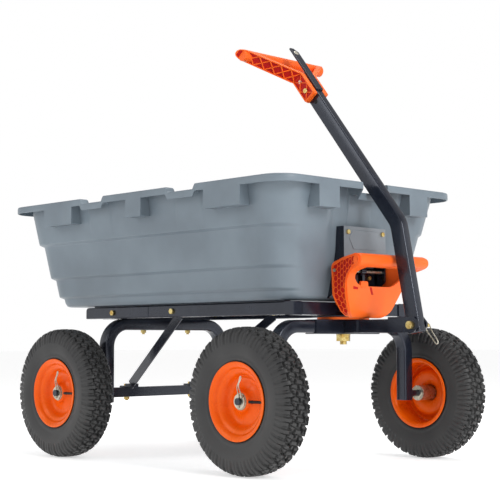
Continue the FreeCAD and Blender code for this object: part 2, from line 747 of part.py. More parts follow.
# ---------------------------------------------------------------- tub
def tub_sections():
    """Heights of the tub wall with the outward reach of its sides and rear at each: three
    ledges run round the sides and rear, and the front wall is plain."""
    floor = size("floor_z")
    ledges = (416.0, 468.0, 560.0)
    heights = [floor]
    for ledge in ledges:
        heights += [ledge - 3, ledge + 3]
    heights.append(size("rim_top"))
    rows = []
    for z in heights:
        passed = sum(1 for ledge in ledges if z > ledge)
        grow = passed * size("step")
        rise = z - floor
        rows.append((
            z,
            size("floor_rear") - grow - size("rear_slope") * rise,
            size("floor_front") + size("front_slope") * rise,
            size("floor_half") + grow + size("side_slope") * rise,
        ))
    return rows


def tub_body(inset, lift):
    wires = []
    rows = tub_sections()
    corner = size("wall_corner") - inset
    for index, (z, rear, front, half) in enumerate(rows):
        low = z + lift if index == 0 else z
        high = low + (1 if index == len(rows) - 1 and inset else 0)
        wires.append(rounded_wire(rear + inset, front - inset, half - inset, corner, high))
    return Part.makeLoft(wires, True, True)


def rim_ring(inset, low, high):
    wire = rounded_wire(size("rim_rear") + inset, size("rim_front") - inset,
                        size("rim_half") - inset, size("rim_corner") - inset, low)
    return Part.Face(wire).extrude(V(0, 0, high - low))


SIDE_NOTCHES = ((-282, -192), (62, 160))
SIDE_BLOCKS = ((-443, -321), (-94, -35), (196, 319))
END_BLOCK = (127, 195)
SIDE_DIP = 13
FRONT_DIP = 22
FRONT_NOTCH = 42


def make_tub():
    wall = size("wall")
    top = size("rim_top")
    skirt = size("skirt")
    rim_half = size("rim_half")
    rim_front = size("rim_front")
    rim_rear = size("rim_rear")
    shell = tub_body(0, 0)
    rim = rim_ring(0, top - skirt, top).cut(rim_ring(wall, top - skirt - 1, top - wall))
    pieces = []
    for start, end in SIDE_BLOCKS:
        for side in (1, -1):
            y = side * rim_half
            pieces.append(Part.makeBox(end - start, 46, top - 605,
                                       V(start, min(y, y - side * 46), 605)))
    for side in (1, -1):
        low = min(side * END_BLOCK[0], side * END_BLOCK[1])
        width = END_BLOCK[1] - END_BLOCK[0]
        pieces.append(Part.makeBox(42, width, top - 600, V(rim_front - 42, low, 600)))
        pieces.append(Part.makeBox(42, width, top - 600, V(rim_rear, low, 600)))
    tools = []
    for start, end in SIDE_NOTCHES:
        for side in (1, -1):
            y = side * (rim_half + 1)
            tools.append(Part.makeBox(end - start, 60, SIDE_DIP + 1,
                                      V(start, min(y, y - side * 60), top - SIDE_DIP)))
            y = side * rim_half
            pieces.append(Part.makeBox(end - start, 34, wall,
                                       V(start, min(y, y - side * 34), top - SIDE_DIP - wall)))
            pieces.append(Part.makeBox(end - start, wall, skirt,
                                       V(start, min(y, y - side * wall), top - SIDE_DIP - skirt)))
    notch_top = top - FRONT_DIP
    ledge_front = rim_front - 19
    tools.append(Part.makeBox(80, 2 * FRONT_NOTCH, FRONT_DIP + 1,
                              V(rim_front - 79, -FRONT_NOTCH, notch_top)))
    tools.append(Part.makeBox(30, 2 * FRONT_NOTCH, 60, V(ledge_front, -FRONT_NOTCH, notch_top - 40)))
    pieces.append(Part.makeBox(22, 2 * FRONT_NOTCH + 2 * wall, wall,
                               V(ledge_front - 22, -FRONT_NOTCH - wall, notch_top - wall)))
    pieces.append(Part.makeBox(wall, 2 * FRONT_NOTCH + 2 * wall, skirt,
                               V(ledge_front - wall, -FRONT_NOTCH - wall, notch_top - skirt)))
    for side in (1, -1):
        low = side * FRONT_NOTCH if side > 0 else -FRONT_NOTCH - wall
        pieces.append(Part.makeBox(rim_front - ledge_front + 22, wall, FRONT_DIP + skirt,
                                   V(ledge_front - 22, low, top - FRONT_DIP - skirt)))
    solid = shell.fuse([rim] + pieces).cut(tools).cut(tub_body(wall, wall))
    node("tub", shaped(solid.removeSplitter()))


def make_tub_fittings():
    """Steel parts bolted to the tub."""
    def hinge_strap(side):
        low = "110" if side > 0 else "-140"
        high = "140" if side > 0 else "-110"
        block = box(("hinge_x - 17", "hinge_x + 17"), (low, high), ("hinge_z - 15", "floor_z"))
        bore = rod("y", ("hinge_x", low, "hinge_z"), "hinge_radius + 0.08", "30")
        return cut(block, bore)
    node("hinge_straps", group(*both_sides(hinge_strap)))

    def runner(side):
        low = "rail_out - 27" if side > 0 else "-rail_out + 3"
        high = "rail_out - 3" if side > 0 else "-rail_out + 27"
        return box(("-378", "338"), (low, high), ("rail_z + tube + 0.3", "floor_z"))
    node("tub_runners", group(*both_sides(runner)))

    slope = size("front_slope")
    floor = size("floor_z")

    def wall_x(z):
        return size("floor_front") + slope * (z - floor)
    web_in = 413.0
    web_out = 417.0
    low = 397.0
    top = 566.0
    cheek = [(wall_x(low) + 0.05, low), (web_out, low + 40), (web_out, top),
             (wall_x(top) + 0.05, top)]
    bracket = prism(cheek, "y", 71, 75).fuse([
        prism(cheek, "y", -75, -71),
        Part.makeBox(web_out - web_in, 150, top - 472, V(web_in, -75, 472)),
        Part.makeBox(8, 150, 4, V(web_in - 7, -75, 482)),
    ])
    tools = [Part.makeCylinder(4.05, 180, V(size("lever_x"), -90, size("lever_z")), V(0, 1, 0))]
    for side in (1, -1):
        tools.append(Part.makeCylinder(3.2, 30, V(web_in - 10, side * 62, 552), V(1, 0, 0)))
    node("tub_bracket", shaped(bracket.cut(tools)))

    def bracket_bolt(side):
        y = f"{side * 62}"
        return fuse(
            hexagon("x", (str(web_out), y, "552"), "10", "4"),
            rod("x", (str(web_out - 12), y, "552"), "3", "13"),
        )
    node("bracket_bolts", group(*both_sides(bracket_bolt)))
    pin = rod("y", ("lever_x", "-98", "lever_z"), "lever_pin_radius", "196")
    node("lever_pin", pin)


def make_release_lever():
    """Scoop-shaped release handle: two cheeks, a front shield and a round bar."""
    outer_side = [
        (393, 449), (391, 478), (430, 489), (493, 497), (509, 489), (509, 473), (495, 466),
        (464, 456), (452, 436), (441, 400), (431, 362), (420, 351), (405, 351), (398, 375),
        (394, 420),
    ]
    inner_side = [
        (380, 340), (400, 340), (414, 358), (424, 366), (434, 402), (445, 438), (456, 458),
        (484, 466), (484, 506), (380, 506),
    ]
    shield = [(122, 505), (122, 462), (106, 436), (92, 400), (72, 364), (52, 350)]
    front = shield + [(-y, z) for y, z in reversed(shield)]
    outer_plan = [(385, -92), (420, -96), (500, -122), (520, -122), (520, 122), (500, 122),
                  (420, 96), (385, 92)]
    inner_plan = [(375, -80), (410, -82), (500, -106), (520, -106), (520, 106), (500, 106),
                  (410, 82), (375, 80)]
    solid = prism(outer_side, "y", -130, 130)
    solid = solid.common(prism(front, "x", 370, 530))
    solid = solid.common(prism(outer_plan, "z", 340, 510))
    hollow = prism(inner_side, "y", -130, 130).common(prism(inner_plan, "z", 330, 520))
    window = Part.makeBox(100, 184, 42, V(428, -92, 424))
    bar_half = size("lever_bar_half")
    bar = Part.makeCylinder(size("lever_bar_radius"), 2 * bar_half,
                            V(size("lever_bar_x"), -bar_half, size("lever_bar_z")), V(0, 1, 0))
    solid = solid.cut([hollow, window]).fuse(bar)
    bore = Part.makeCylinder(4.08, 300, V(size("lever_x"), -150, size("lever_z")), V(0, 1, 0))
    node("release_lever", shaped(solid.cut(bore).removeSplitter()))

    hook_outline = [(397, 470), (411, 470), (411, 384), (401, 362), (388, 362), (388, 371),
                    (397, 380)]
    x0 = size("lever_x")
    z0 = size("lever_z")
    hook = prism(hook_outline, "y", -4, 4)
    arm = Part.makeBox(27, 12, 8, V(411, -6, 400))
    hook = hook.fuse(Part.makeCylinder(9, 16, V(x0, -8, z0), V(0, 1, 0)))
    hook = hook.cut(Part.makeCylinder(4.08, 60, V(x0, -30, z0), V(0, 1, 0)))
    shell = prism(outer_side, "y", -130, 130).cut(prism(inner_side, "y", -131, 131))
    node("latch_hook", shaped(hook.fuse(arm).cut(shell).removeSplitter()))


# ---------------------------------------------------------------- wheels
WHEELS = {
    "front_left": ("front_axle_x", 1),
    "front_right": ("front_axle_x", -1),
    "rear_left": ("rear_axle_x", 1),
    "rear_right": ("rear_axle_x", -1),
}


def turned_body(label, outline, station, side):
    """A ring or disc turned about the wheel's axle. Outline points are (out, radius), with
    `out` measured from the wheel's middle plane towards the cart's outside."""
    body = doc.addObject("PartDesign::Body", label + "_turned")
    sketch = new_sketch(body, "YZ_Plane", label + "_outline")
    polyline(sketch, [(f"{side} * ({out})", radius) for out, radius in outline], True)
    turn = body.newObject("PartDesign::Revolution", label + "_turn")
    turn.Profile = sketch
    turn.ReferenceAxis = (sketch, ["H_Axis"])
    turn.Angle = 360
    body.Tip = turn
    return place(body, station, f"{side} * half_track", "axle_z")


TYRE_OUTLINE = [
    ("0", "tyre_radius"), ("tyre_half_width * 0.5", "tyre_radius - 2"),
    ("tyre_half_width * 0.8", "tyre_radius - 8"), ("tyre_half_width * 0.93", "tyre_radius - 19"),
    ("tyre_half_width", "tyre_radius - 38"), ("tyre_half_width * 0.96", "tyre_radius - 56"),
    ("rim_half_width - 3", "rim_radius + 2"), ("rim_half_width - 3", "rim_radius - 7.7"),
    ("rim_half_width - 13", "rim_radius - 7.7"), ("rim_half_width - 12", "rim_radius + 6"),
    ("tyre_half_width - 10", "tyre_radius - 50"), ("tyre_half_width - 10", "tyre_radius - 34"),
    ("tyre_half_width * 0.6", "tyre_radius - 16"), ("0", "tyre_radius - 12"),
]
RIM_OUTLINE = [
    ("rim_half_width", "rim_radius"), ("rim_half_width", "rim_radius - 3"),
    ("rim_half_width - 3", "rim_radius - 11"), ("rim_half_width - 8", "rim_radius - 16"),
    ("rim_half_width - 12", "rim_radius - 16"), ("rim_half_width - 12", "rim_radius - 20"),
    ("rim_half_width - 17", "rim_radius - 27"), ("rim_half_width - 31", "rim_radius - 35"),
    ("rim_half_width - 33", "hub_radius + 24"), ("rim_half_width - 28", "hub_radius + 12"),
    ("hub_outer - 3", "hub_radius + 3"), ("hub_outer - 1", "hub_radius"),
    ("hub_outer - 6", "hub_radius"), ("rim_half_width - 31", "hub_radius + 11"),
    ("rim_half_width - 36", "hub_radius + 22"), ("rim_half_width - 34.5", "rim_radius - 33"),
    ("rim_half_width - 20", "rim_radius - 24"), ("rim_half_width - 15", "rim_radius - 17"),
    ("rim_half_width - 15", "rim_radius - 13"),
    ("-rim_half_width + 8", "rim_radius - 13"), ("-rim_half_width", "rim_radius - 9"),
    ("-rim_half_width", "rim_radius"), ("-rim_half_width + 3", "rim_radius"),
    ("-rim_half_width + 3", "rim_radius - 8"),
    ("rim_half_width - 3", "rim_radius - 8"), ("rim_half_width - 3", "rim_radius"),
]


def full_tyre():
    """The tyre's outline all the way round, from the half that is listed."""
    outside = TYRE_OUTLINE[:9]
    inside = TYRE_OUTLINE[9:]
    mirrored_out = [(f"-({out})", radius) for out, radius in reversed(outside[1:])]
    mirrored_in = [(f"-({out})", radius) for out, radius in reversed(inside[:-1])]
    return outside + inside + mirrored_in + mirrored_out


def make_wheels():
    for name, (station, side) in WHEELS.items():
        node(f"{name}_tyre", turned_body(f"{name}_tyre", full_tyre(), station, side))
        stem_y = f"{side} * (half_track + valve_out)"
        stem_hole = rod("x", (f"{station} + valve_start - 1", stem_y, "axle_z"), "4.2", "58")
        disc = turned_body(f"{name}_rim", RIM_OUTLINE, station, side)
        node(f"{name}_rim", cut(disc, stem_hole))
        start = "half_track - hub_inner" if side > 0 else "-half_track - hub_outer"
        length = "(hub_inner + hub_outer)"
        tube = rod("y", (station, start, "axle_z"), "hub_radius", length)
        bore = rod("y", (station, start, "axle_z"), "hub_radius - 3", length)
        rings = [cut(tube, bore)]
        for offset in ("0", f"{length} - 12"):
            ring = rod("y", (station, f"{start} + {offset}", "axle_z"), "hub_radius - 3", "12")
            hole = rod("y", (station, f"{start} + {offset}", "axle_z"), "spindle_radius + 0.05",
                       "12")
            rings.append(cut(ring, hole))
        node(f"{name}_hub", group(*rings))
        stem = rod("x", (f"{station} + valve_start", stem_y, "axle_z"), "4", "52")
        node(f"{name}_valve", stem)


def make_wheel_keepers():
    """A washer and an upright R-pin outside each wheel."""
    for name, station in (("front", "front_axle_x"), ("rear", "rear_axle_x")):
        washers = []
        pins = []
        for side in (1, -1):
            near_end = "half_track + hub_outer + keeper_gap"
            start = near_end if side > 0 else f"-({near_end}) - washer_thick"
            disc = rod("y", (station, start, "axle_z"), "washer_radius", "washer_thick")
            hole = rod("y", (station, start, "axle_z"), "spindle_radius", "washer_thick")
            washers.append(cut(disc, hole))
            x = size(station)
            y = side * (size("axle_end") - size("pin_inset"))
            z = size("axle_z")
            route = [V(x, y, z - 14), V(x, y, z + 20), V(x - 5, y, z + 34), V(x + 2, y, z + 56),
                     V(x + 7, y, z + 50), V(x + 4, y, z + 33), V(x + 11, y, z + 18),
                     V(x + 10.5, y, z + 6)]
            pins.append(wire_through(route, 1.8))
        node(f"{name}_washers", group(*washers))
        node(f"{name}_axle_pins", shaped(Part.makeCompound(pins)))


# ---------------------------------------------------------------- build and write
make_rails()
make_rail_sleeves()
make_cross_members()
make_corner_brackets()
make_rear_frame()
make_braces()
make_frame_fasteners()
make_kingpin_group()
make_striker()
make_front_axle()
make_drawbar()
make_handle_pin()
make_handle_tube()
make_hitch()
make_grip()
make_tub()
make_tub_fittings()
make_release_lever()
make_wheels()
make_wheel_keepers()
doc.recompute()

for obj in doc.Objects:
    if {"Invalid", "Error"} & set(obj.State):
        raise RuntimeError(f"{obj.Name} ({obj.Label}) did not recompute: {obj.State}")
os.makedirs("parts", exist_ok=True)
for label, obj in nodes.items():
    shape = obj.Shape
    if shape.isNull() or not shape.isValid():
        raise RuntimeError(f"{label} has no valid shape")
    shape.exportStep(f"parts/{label}.step")
print(len(nodes), "nodes")
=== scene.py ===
"""Garden dump cart: the look of every piece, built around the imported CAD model.

Lengths are millimetres from the same station datum as the CAD source; `at` turns them into
the frame's metres. +X is the pulled end, +Y the cart's left, and the ground is z = 0.
"""
import bmesh
import bpy
import math
from mathutils import Matrix, Vector


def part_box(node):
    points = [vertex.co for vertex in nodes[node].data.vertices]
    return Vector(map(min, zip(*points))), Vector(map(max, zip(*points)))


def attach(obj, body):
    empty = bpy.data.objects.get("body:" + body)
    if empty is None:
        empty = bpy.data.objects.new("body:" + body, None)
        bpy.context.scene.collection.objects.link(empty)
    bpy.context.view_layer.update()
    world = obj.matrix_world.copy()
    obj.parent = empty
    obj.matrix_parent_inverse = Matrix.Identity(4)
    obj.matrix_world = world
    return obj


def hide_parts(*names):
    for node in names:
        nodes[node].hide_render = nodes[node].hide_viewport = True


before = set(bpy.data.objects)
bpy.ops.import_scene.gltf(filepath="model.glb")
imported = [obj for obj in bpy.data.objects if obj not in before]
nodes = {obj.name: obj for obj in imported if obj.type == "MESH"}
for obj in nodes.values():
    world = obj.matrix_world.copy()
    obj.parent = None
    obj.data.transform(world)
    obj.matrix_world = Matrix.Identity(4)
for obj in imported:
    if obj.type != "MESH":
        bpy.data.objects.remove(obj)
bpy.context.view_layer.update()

MM = 0.001
DATUM = 6.25
X_AXIS, Y_AXIS = Vector((1, 0, 0)), Vector((0, 1, 0))


def at(x, y, z):
    """A point in metres from its station, side and height in millimetres."""
    return Vector((x + DATUM, y, z)) * MM


def station_box(node):
    """A CAD node's lowest and highest corner in millimetres from the station datum."""
    low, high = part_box(node)
    shift = Vector((DATUM, 0, 0))
    return low / MM - shift, high / MM - shift


def ease(value, low, high):
    """0 below low, 1 above high, and a smooth turn between them."""
    share = min(max((value - low) / (high - low), 0.0), 1.0)
    return share * share * (3 - 2 * share)


# ---------------------------------------------------------------- materials
def srgb(red, green, blue):
    """A colour as the shader wants it, from the usual 0 to 255 values."""
    def linear(level):
        level /= 255
        return level / 12.92 if level <= 0.04045 else ((level + 0.055) / 1.055) ** 2.4
    return (linear(red), linear(green), linear(blue), 1.0)


def surface(name, dark, light, rough, grain, metallic=0.0, coat=0.0, patch=9.0, shine=0.5,
            tint=(1.0, 1.0, 1.0, 1.0)):
    """A procedural finish: two close colours in soft patches, uneven gloss and a fine grain.
    rough is (lowest, highest) roughness and grain is (scale, depth in mm)."""
    material = bpy.data.materials.new(name)
    material.use_nodes = True
    tree = material.node_tree
    shader = tree.nodes["Principled BSDF"]
    shader.inputs["Metallic"].default_value = metallic
    shader.inputs["Specular IOR Level"].default_value = shine
    shader.inputs["Specular Tint"].default_value = tint
    shader.inputs["Coat Weight"].default_value = coat
    shader.inputs["Coat Roughness"].default_value = 0.12
    where = tree.nodes.new("ShaderNodeTexCoord").outputs["Object"]

    def noise_at(scale, detail):
        node = tree.nodes.new("ShaderNodeTexNoise")
        node.inputs["Scale"].default_value = scale
        node.inputs["Detail"].default_value = detail
        tree.links.new(where, node.inputs["Vector"])
        return node.outputs["Fac"]
    ramp = tree.nodes.new("ShaderNodeValToRGB")
    ramp.color_ramp.elements[0].position = 0.35
    ramp.color_ramp.elements[0].color = dark
    ramp.color_ramp.elements[1].position = 0.65
    ramp.color_ramp.elements[1].color = light
    tree.links.new(noise_at(patch, 5), ramp.inputs["Fac"])
    tree.links.new(ramp.outputs["Color"], shader.inputs["Base Color"])
    gloss = tree.nodes.new("ShaderNodeMapRange")
    gloss.inputs["From Min"].default_value = 0.3
    gloss.inputs["From Max"].default_value = 0.7
    gloss.inputs["To Min"].default_value = rough[0]
    gloss.inputs["To Max"].default_value = rough[1]
    tree.links.new(noise_at(patch * 4, 6), gloss.inputs["Value"])
    tree.links.new(gloss.outputs["Result"], shader.inputs["Roughness"])
    bump = tree.nodes.new("ShaderNodeBump")
    bump.inputs["Strength"].default_value = 0.5
    bump.inputs["Distance"].default_value = grain[1] * MM
    tree.links.new(noise_at(grain[0], 3), bump.inputs["Height"])
    tree.links.new(bump.outputs["Normal"], shader.inputs["Normal"])
    return material


TUB = surface("tub_plastic", srgb(104, 115, 124), srgb(114, 126, 135), (0.34, 0.46),
              (700, 0.25), shine=0.4)
BRACKET = surface("grey_bracket", srgb(120, 126, 132), srgb(134, 140, 146), (0.3, 0.42),
                  (500, 0.15), metallic=0.4)
BLACK = surface("black_powder_coat", srgb(16, 18, 27), srgb(22, 26, 37), (0.16, 0.28),
                (420, 0.2), coat=0.15, shine=0.55, tint=(0.8, 0.86, 1.0, 1.0))
RIM = surface("orange_paint", srgb(228, 84, 3), srgb(235, 94, 6), (0.2, 0.32), (300, 0.12),
              shine=0.35, tint=(1.0, 0.72, 0.5, 1.0))
ORANGE = surface("orange_plastic", srgb(242, 96, 26), srgb(248, 108, 36), (0.36, 0.46),
                 (650, 0.2), shine=0.35, tint=(1.0, 0.82, 0.66, 1.0))
# Deep red painted shade, laid as sheets in the grip's and lever's honeycomb wells and in the
# lever's slots.
RECESS_SHADE_RED = surface("recess_shade_red", srgb(168, 14, 12), srgb(188, 24, 16), (0.5, 0.65),
                   (500, 0.2), shine=0.2)
RUBBER = surface("tyre_rubber", srgb(40, 40, 41), srgb(54, 54, 54), (0.42, 0.58), (450, 0.35),
                 shine=0.4)
# Near-black rubber for the valve stems, also used as painted shade in the handle's side holes.
BLACK_RUBBER_AND_HOLE_SHADE = surface("valve_rubber", srgb(12, 12, 12), srgb(20, 20, 20), (0.5, 0.65),
                       (500, 0.2), shine=0.3)
ZINC = surface("yellow_zinc", srgb(196, 160, 84), srgb(224, 206, 140), (0.22, 0.4), (600, 0.12),
               metallic=0.85, patch=90)
# Bright steel for pins, hubs and washers, also used as painted light where the backdrop shows
# through the hitch hole.
STEEL_AND_HOLE_LIGHT = surface("bright_steel_and_hole_light", srgb(168, 160, 140), srgb(205, 200, 186), (0.24, 0.4),
                (600, 0.1), metallic=0.9, patch=60)


# ---------------------------------------------------------------- meshes
class Solid:
    """Vertices in metres and faces, gathered from several shapes into one piece."""

    def __init__(self):
        self.points = []
        self.faces = []

    def add(self, points, faces):
        first = len(self.points)
        self.points += [tuple(p) for p in points]
        self.faces += [[first + i for i in face] for face in faces]
        return self

    def rings(self, rings, capped=True, closed=False):
        """Joins rings of equal length in order. closed joins the last ring to the first."""
        count = len(rings[0])
        points = [p for ring in rings for p in ring]
        faces = []
        last = len(rings) if closed else len(rings) - 1
        for row in range(last):
            low = row * count
            high = (row + 1) % len(rings) * count
            for i in range(count):
                j = (i + 1) % count
                faces.append([low + i, low + j, high + j, high + i])
        if capped and not closed:
            faces.append(list(reversed(range(count))))
            faces.append([len(points) - count + i for i in range(count)])
        return self.add(points, faces)

    def prism(self, outline, axis, low, high):
        """A polygon of (x, z), (y, z) or (x, y) pairs drawn along an axis."""
        lift = {
            "y": lambda a, b, c: at(a, c, b),
            "x": lambda a, b, c: at(c, a, b),
            "z": lambda a, b, c: at(a, b, c),
        }[axis]
        return self.rings([[lift(a, b, c) for a, b in outline] for c in (low, high)])

    def box(self, low, high):
        outline = [(low[0], low[1]), (high[0], low[1]), (high[0], high[1]), (low[0], high[1])]
        return self.prism(outline, "z", low[2], high[2])

    def mesh(self, name, sharp=35):
        mesh = bpy.data.meshes.new(name)
        mesh.from_pydata(self.points, [], self.faces)
        tidy = bmesh.new()
        tidy.from_mesh(mesh)
        bmesh.ops.recalc_face_normals(tidy, faces=tidy.faces)
        tidy.to_mesh(mesh)
        tidy.free()
        mesh.shade_smooth()
        mesh.set_sharp_from_angle(angle=math.radians(sharp))
        return mesh


def rounded(outline, radius, steps=6):
    """The outline with its corners rounded off, as far as its sides leave room."""
    points = []
    count = len(outline)
    for i, corner in enumerate(outline):
        here = Vector(corner)
        back = Vector(outline[i - 1]) - here
        ahead = Vector(outline[(i + 1) % count]) - here
        reach = min(radius, 0.49 * back.length, 0.49 * ahead.length)
        first = here + back.normalized() * reach
        last = here + ahead.normalized() * reach
        for k in range(steps + 1):
            s = k / steps
            points.append(tuple(first * (1 - s) ** 2 + here * 2 * s * (1 - s) + last * s ** 2))
    return points


def carved(name, first, *steps):
    """The mesh left when closed solids are joined to, cut from or common with the first."""
    base = bpy.data.objects.new(name, first.mesh(name))
    bpy.context.scene.collection.objects.link(base)
    for way, solid in steps:
        tool = bpy.data.objects.new(name + "_tool", solid.mesh(name + "_tool"))
        bpy.context.scene.collection.objects.link(tool)
        change = base.modifiers.new("carve", "BOOLEAN")
        change.operation = way
        change.solver = "EXACT"
        change.object = tool
        graph = bpy.context.evaluated_depsgraph_get()
        result = bpy.data.meshes.new_from_object(base.evaluated_get(graph))
        base.modifiers.clear()
        base.data = result
        bpy.data.objects.remove(tool)
    mesh = base.data
    bpy.data.objects.remove(base)
    weld = bmesh.new()
    weld.from_mesh(mesh)
    bmesh.ops.remove_doubles(weld, verts=weld.verts, dist=0.00005)
    bmesh.ops.dissolve_degenerate(weld, dist=0.00005, edges=weld.edges)
    bmesh.ops.recalc_face_normals(weld, faces=weld.faces)
    weld.to_mesh(mesh)
    weld.free()
    mesh.name = name
    mesh.shade_smooth()
    mesh.set_sharp_from_angle(angle=math.radians(35))
    return mesh


def show(obj, body, material, stands_for=(), round_edges=0.0):
    """Puts a finished object in the scene, on its CAD body and in its material slot."""
    bpy.context.scene.collection.objects.link(obj)
    obj.data.materials.clear()
    obj.data.materials.append(material)
    if round_edges:
        bevel = obj.modifiers.new("edges", "BEVEL")
        bevel.width = round_edges * MM
        bevel.segments = 3
        bevel.limit_method = "ANGLE"
        bevel.angle_limit = math.radians(28)
        bevel.harden_normals = True
    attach(obj, body)
    if stands_for:
        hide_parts(*stands_for)
    return obj


def piece(name, solid, body, material, stands_for=(), round_edges=0.0, sharp=35):
    obj = bpy.data.objects.new(name, solid.mesh(name, sharp))
    return show(obj, body, material, stands_for, round_edges)


def softened(node, body, material, round_edges):
    """A copy of a CAD node with welded, flat faces and rounded edges, which stands for it."""
    mesh = nodes[node].data.copy()
    mesh.name = node + "_look"
    weld = bmesh.new()
    weld.from_mesh(mesh)
    bmesh.ops.remove_doubles(weld, verts=weld.verts, dist=0.00002)
    bmesh.ops.dissolve_limit(weld, angle_limit=math.radians(1.5), verts=weld.verts,
                             edges=weld.edges)
    bmesh.ops.recalc_face_normals(weld, faces=weld.faces)
    weld.to_mesh(mesh)
    weld.free()
    if "custom_normal" in mesh.attributes:
        mesh.attributes.remove(mesh.attributes["custom_normal"])
    mesh.shade_smooth()
    mesh.set_sharp_from_angle(angle=math.radians(32))
    obj = bpy.data.objects.new(node + "_look", mesh)
    return show(obj, body, material, [node], round_edges)


def circle(centre, axis, radius, count=32):
    """A ring of points round an axis."""
    first = axis.orthogonal().normalized()
    second = axis.cross(first).normalized()
    return [centre + (first * math.cos(a) + second * math.sin(a)) * radius
            for a in (2 * math.pi * i / count for i in range(count))]


def turned(solid, centre, axis, outline, count=32, closed=False):
    """Rings from (distance along the axis, radius) pairs in millimetres."""
    axis = axis.normalized()
    rings = [circle(centre + axis * out * MM, axis, radius * MM, count)
             for out, radius in outline]
    return solid.rings(rings, capped=not closed, closed=closed)


def bent(points, radius, steps=10):
    """A path in metres through the points with each inner corner turned to an arc."""
    path = [points[0]]
    for before, corner, after in zip(points, points[1:], points[2:]):
        into = (corner - before).normalized()
        out = (after - corner).normalized()
        turn = into.angle(out)
        reach = radius * MM * math.tan(turn / 2)
        start = corner - into * reach
        side = (out - into * into.dot(out)).normalized()
        centre = start + side * radius * MM
        for i in range(steps + 1):
            angle = turn * i / steps
            path.append(centre - side * radius * MM * math.cos(angle)
                        + into * radius * MM * math.sin(angle))
    path.append(points[-1])
    return path


def tube(solid, path, flat, width, depth, corner):
    """A square tube along a path that lies in one plane. width runs along `flat`, the
    plane's normal, and depth across it. The ends are closed, with softened edges."""
    soft = 0.8

    def section(shrink):
        half_w, half_d = width / 2 - shrink, depth / 2 - shrink
        marks = []
        for quarter, (sw, sd) in enumerate(((1, 1), (-1, 1), (-1, -1), (1, -1))):
            for i in range(5):
                angle = math.radians(90 * quarter + 22.5 * i)
                marks.append((sw * (half_w - corner) + corner * math.cos(angle),
                              sd * (half_d - corner) + corner * math.sin(angle)))
        return marks
    stops = []
    for i, point in enumerate(path):
        before = path[max(i - 1, 0)]
        after = path[min(i + 1, len(path) - 1)]
        stops.append((point, (after - before).normalized(), 0.0))
    first, last = stops[0], stops[-1]
    stops[0:1] = [(first[0], first[1], soft), (first[0] + first[1] * soft * MM, first[1], 0.0)]
    stops[-1:] = [(last[0] - last[1] * soft * MM, last[1], 0.0), (last[0], last[1], soft)]
    rings = []
    for point, way, shrink in stops:
        across = way.cross(flat).normalized()
        rings.append([point + (flat * a + across * b) * MM for a, b in section(shrink)])
    return solid.rings(rings)


def wire(name, routes, radius, body, material, stands_for):
    """Smooth round wire through each route's points."""
    curve = bpy.data.curves.new(name, "CURVE")
    curve.dimensions = "3D"
    curve.bevel_depth = radius * MM
    curve.bevel_resolution = 4
    curve.resolution_u = 8
    curve.use_fill_caps = True
    for route in routes:
        spline = curve.splines.new("NURBS")
        spline.points.add(len(route) - 1)
        for point, place in zip(spline.points, route):
            point.co = (*place, 1.0)
        spline.order_u = 3
        spline.use_endpoint_u = True
    return show(bpy.data.objects.new(name, curve), body, material, stands_for)


# ---------------------------------------------------------------- wheels
TYRE_RADIUS = 165.0
TREAD_PITCHES = 38
STEPS_PER_PITCH = 18
TREAD_ROWS = (-1.0, -0.6, -0.2, 0.2, 0.6, 1.0)
GROOVE_DEPTH = 7.0


def tread_height(turn, across):
    """1 on a tread block and 0 in a groove. turn counts pitches and across is -1 to 1."""
    zigzag = 0.07 * max(-1.0, min(1.0, 3 * math.sin(2 * math.pi * turn)))
    row = 0
    nearest = 9.0
    last = len(TREAD_ROWS) - 1
    for index, edge in enumerate(TREAD_ROWS):
        if 0 < index < last:
            border = edge + (zigzag if index % 2 else -zigzag)
            nearest = min(nearest, abs(across - border))
            row = index if across > border else row
    slant = 0.0 if row in (0, last - 1) else 0.45 * across
    place = (turn + 0.5 * (row % 2) + slant) % 1.0
    sipe = 1 - 0.5 * (1 - ease(abs(place - 0.5), 0.02, 0.05))
    return min(ease(min(place, 1 - place), 0.09, 0.15) * ease(nearest, 0.045, 0.085), sipe)


def shoulder_height(turn):
    """The same for the shoulder blocks' lower ends, which split into two prongs."""
    place = turn % 1.0
    gap = ease(min(place, 1 - place), 0.12, 0.18)
    return min(gap, 0.35 + 0.65 * ease(abs(place - 0.5), 0.04, 0.09))


